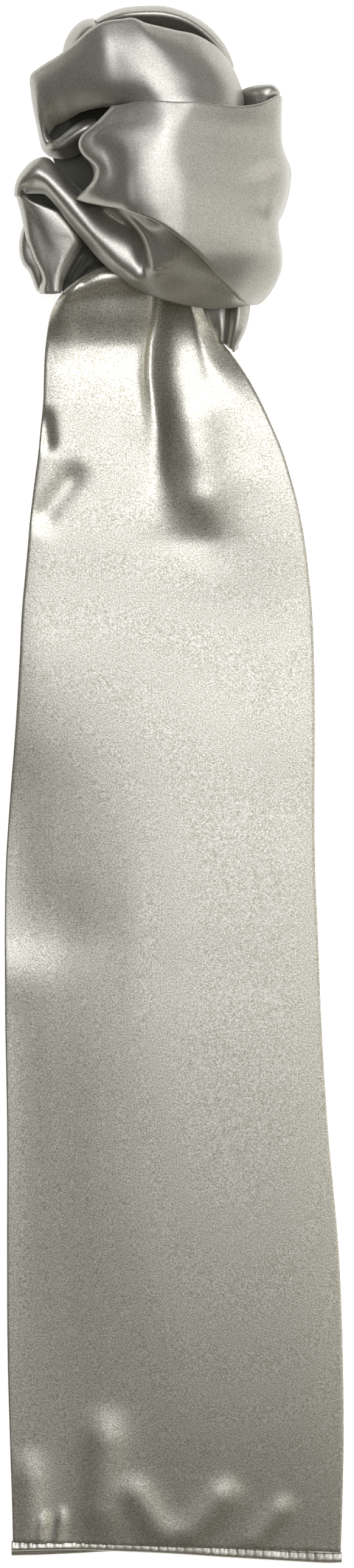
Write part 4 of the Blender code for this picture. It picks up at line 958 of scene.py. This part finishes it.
TAIL_CREASES = (
    # two dents in the left side, and the broad soft ridge below the knot
    (((-66, 183), (-63, 171), (-62, 157)), 4.0, -1.6),
    (((-44, 156), (-56, 140), (-70, 120)), 6.5, -1.4),
    (((4, 200), (7, 165), (10, 115)), 16.0, 4.0),
    # ridges that the gathered hem pulls into the cloth
    (((-33, -297), (-37, -372)), 9.5, 1.5),
    (((-71, -317), (-69, -384)), 7.0, 1.0),
    (((-27, -332), (0, -373)), 7.5, 1.1),
    (((31, -334), (-3, -373)), 7.0, 1.4),
    (((57, -342), (30, -375)), 5.0, 1.0),
    (((-63, -349), (-67, -378)), 2.2, 0.9),
    (((-54, -347), (-59, -378)), 2.2, 1.0),
)
tail_grid = loft(panel_lines(TAIL_SECTIONS), spacing=1.5, half=0.5)
tail_grid = crisp(creased(tail_grid, TAIL_CREASES))
tail_grid = turned(tail_grid, "first last", depth=8, inward=3, bulge=0.15)
cloth("tail_front", tail_grid, tail_satin, nodes=["tail_front"],
      half=0.5)

# the back panel lies flat on the board, and starts a little below the front one
BACK_HEIGHT = 0.8
back_grid = loft(panel_lines(TAIL_SECTIONS[2:], BACK_HEIGHT), spacing=4.0, half=0.5)
cloth("tail_back", back_grid, tail_satin, nodes=["tail_back"],
      half=0.5)


# --- The stitched hem ----------------------------------------------------------------
# The end of each panel, turned up 4.4 mm and sewn down with one row of lockstitch that
# puckers the satin a little. The back panel's hem shows under the front's at the left.

# a finer, fainter grain than the tail's, and a lighter dark tone: painted light on the turned
# hem
hem_satin = satin("turned_satin_hem", "#dcd9cd", "#a39f90", grain_mm=0.5, grain_depth=0.04,
                  ripple_depth=0.006)
HEM_EDGE = ((-79.6, -370.3), (-64, -369.9), (-48.7, -369.7), (-25, -370.4), (-2.9, -371.4),
            (20, -372.9), (42.9, -374.3), (60, -375.3), (75.7, -375.9), (79.9, -375.7))
# distance from the folded edge and height, over the front, round the fold and back below
HEM_TURN = ((5.0, 2.75), (4.4, 2.35), (3.6, 2.6), (2.6, 2.95), (1.6, 3.25), (0.8, 3.3),
            (0.3, 3.0), (0.1, 2.45), (0.45, 1.95), (1.5, 1.75), (3.0, 1.75), (4.8, 1.8))
UNDER_TURN = ((5.0, 1.05), (3.7, 1.1), (2.4, 1.1), (1.0, 1.05), (0.3, 0.85), (0.1, 0.6),
              (0.4, 0.42), (1.5, 0.36), (3.0, 0.35), (4.8, 0.35))
STITCH_MM, STITCH_GAP_MM, THREAD_MM = 3.0, 1.2, 0.34
PUCKER_DEPTH = 0.32
SLACK_FROM, SLACK_TO, SLACK_DEPTH = -52, -42, 0.8   # where it starts to sag, and how deep


def hem_lines(edge, turn):
    """Lines along a hem, from its stitches round its folded edge to its raw edge."""
    return [[(x, y + rise, z) for x, y in edge] for rise, z in turn]


def puckered(points):
    """A hem's grid with a small pucker at each stitch, sagging everywhere but at the left.

    The grid starts at the stitches, where the puckers are deepest.
    """
    points = points.copy()
    across = points[..., 0]
    down = np.linspace(0, 1, len(points))[:, None]
    fade = np.clip(1.2 - 2 * down, 0, 1)
    # deep and shallow by turns, at no even spacing
    strength = 0.65 + 0.35 * np.sin(across / 6.3) * np.sin(across / 2.9 + 1)
    wave = np.sin(2 * math.pi * across / (STITCH_MM + STITCH_GAP_MM))
    slack = np.clip((across - SLACK_FROM) / (SLACK_TO - SLACK_FROM), 0, 1)
    slack = slack * (0.8 + 0.2 * np.sin(across / 4.7))
    # the fold sags most, the stitched line and the raw edge not at all
    sag = np.interp(down, (0, 0.06, 0.38, 0.5, 0.8), (0, 0, 1, 1, 0))
    points[..., 2] += PUCKER_DEPTH * fade * strength * wave - SLACK_DEPTH * slack * sag
    return points


def stitches(name, edge, rise, height, material):
    """A row of lockstitch as short raised threads with rounded ends."""
    edge = np.array(edge, float)
    run = lengths(edge)
    work = bmesh.new()
    for start in np.arange(1.0, run[-1] - STITCH_MM, STITCH_MM + STITCH_GAP_MM):
        ends = smooth(run, edge, np.array([start, start + STITCH_MM]))
        middle, reach = ends.mean(axis=0), ends[1] - ends[0]
        place = to_frame(np.array([[middle[0], middle[1] + rise, height]]))[0]
        bmesh.ops.create_uvsphere(
            work, u_segments=8, v_segments=6, radius=THREAD_MM / 2 * MM,
            matrix=Matrix.Translation(place)
            @ Matrix.Rotation(math.atan2(reach[1], reach[0]), 4, "Z")
            @ Matrix.Diagonal((STITCH_MM / THREAD_MM, 1, 0.8, 1)))
    mesh = bpy.data.meshes.new(name)
    work.to_mesh(mesh)
    work.free()
    return shown(name, mesh, material)


# twisted thread in the cloth's own colour: a finer grain, and a little duller than the satin
thread = satin("twisted_polyester_thread", "#b9b8ac", "#a3a296", grain_mm=0.3,
               grain_depth=0.03, ripple_depth=0.0)
hem_stitches = stitches("hem_stitches", HEM_EDGE, rise=4.4, height=2.95, material=thread)
hem_grid = puckered(loft(hem_lines(HEM_EDGE, HEM_TURN), spacing=0.45, half=0.3))
cloth("hem", hem_grid, hem_satin, nodes=["hem_front"],
      half=0.3)

# left of x -25 the under hem comes out below the front one, by 2.3 mm from x -55 on
under_edge = [(x, y - np.interp(x, (-55, -25), (2.3, 0))) for x, y in HEM_EDGE]
hem_under_grid = loft(hem_lines(under_edge, UNDER_TURN), spacing=0.8, half=0.3)
cloth("hem_under", hem_under_grid, hem_satin, nodes=["hem_back"],
      half=0.3)
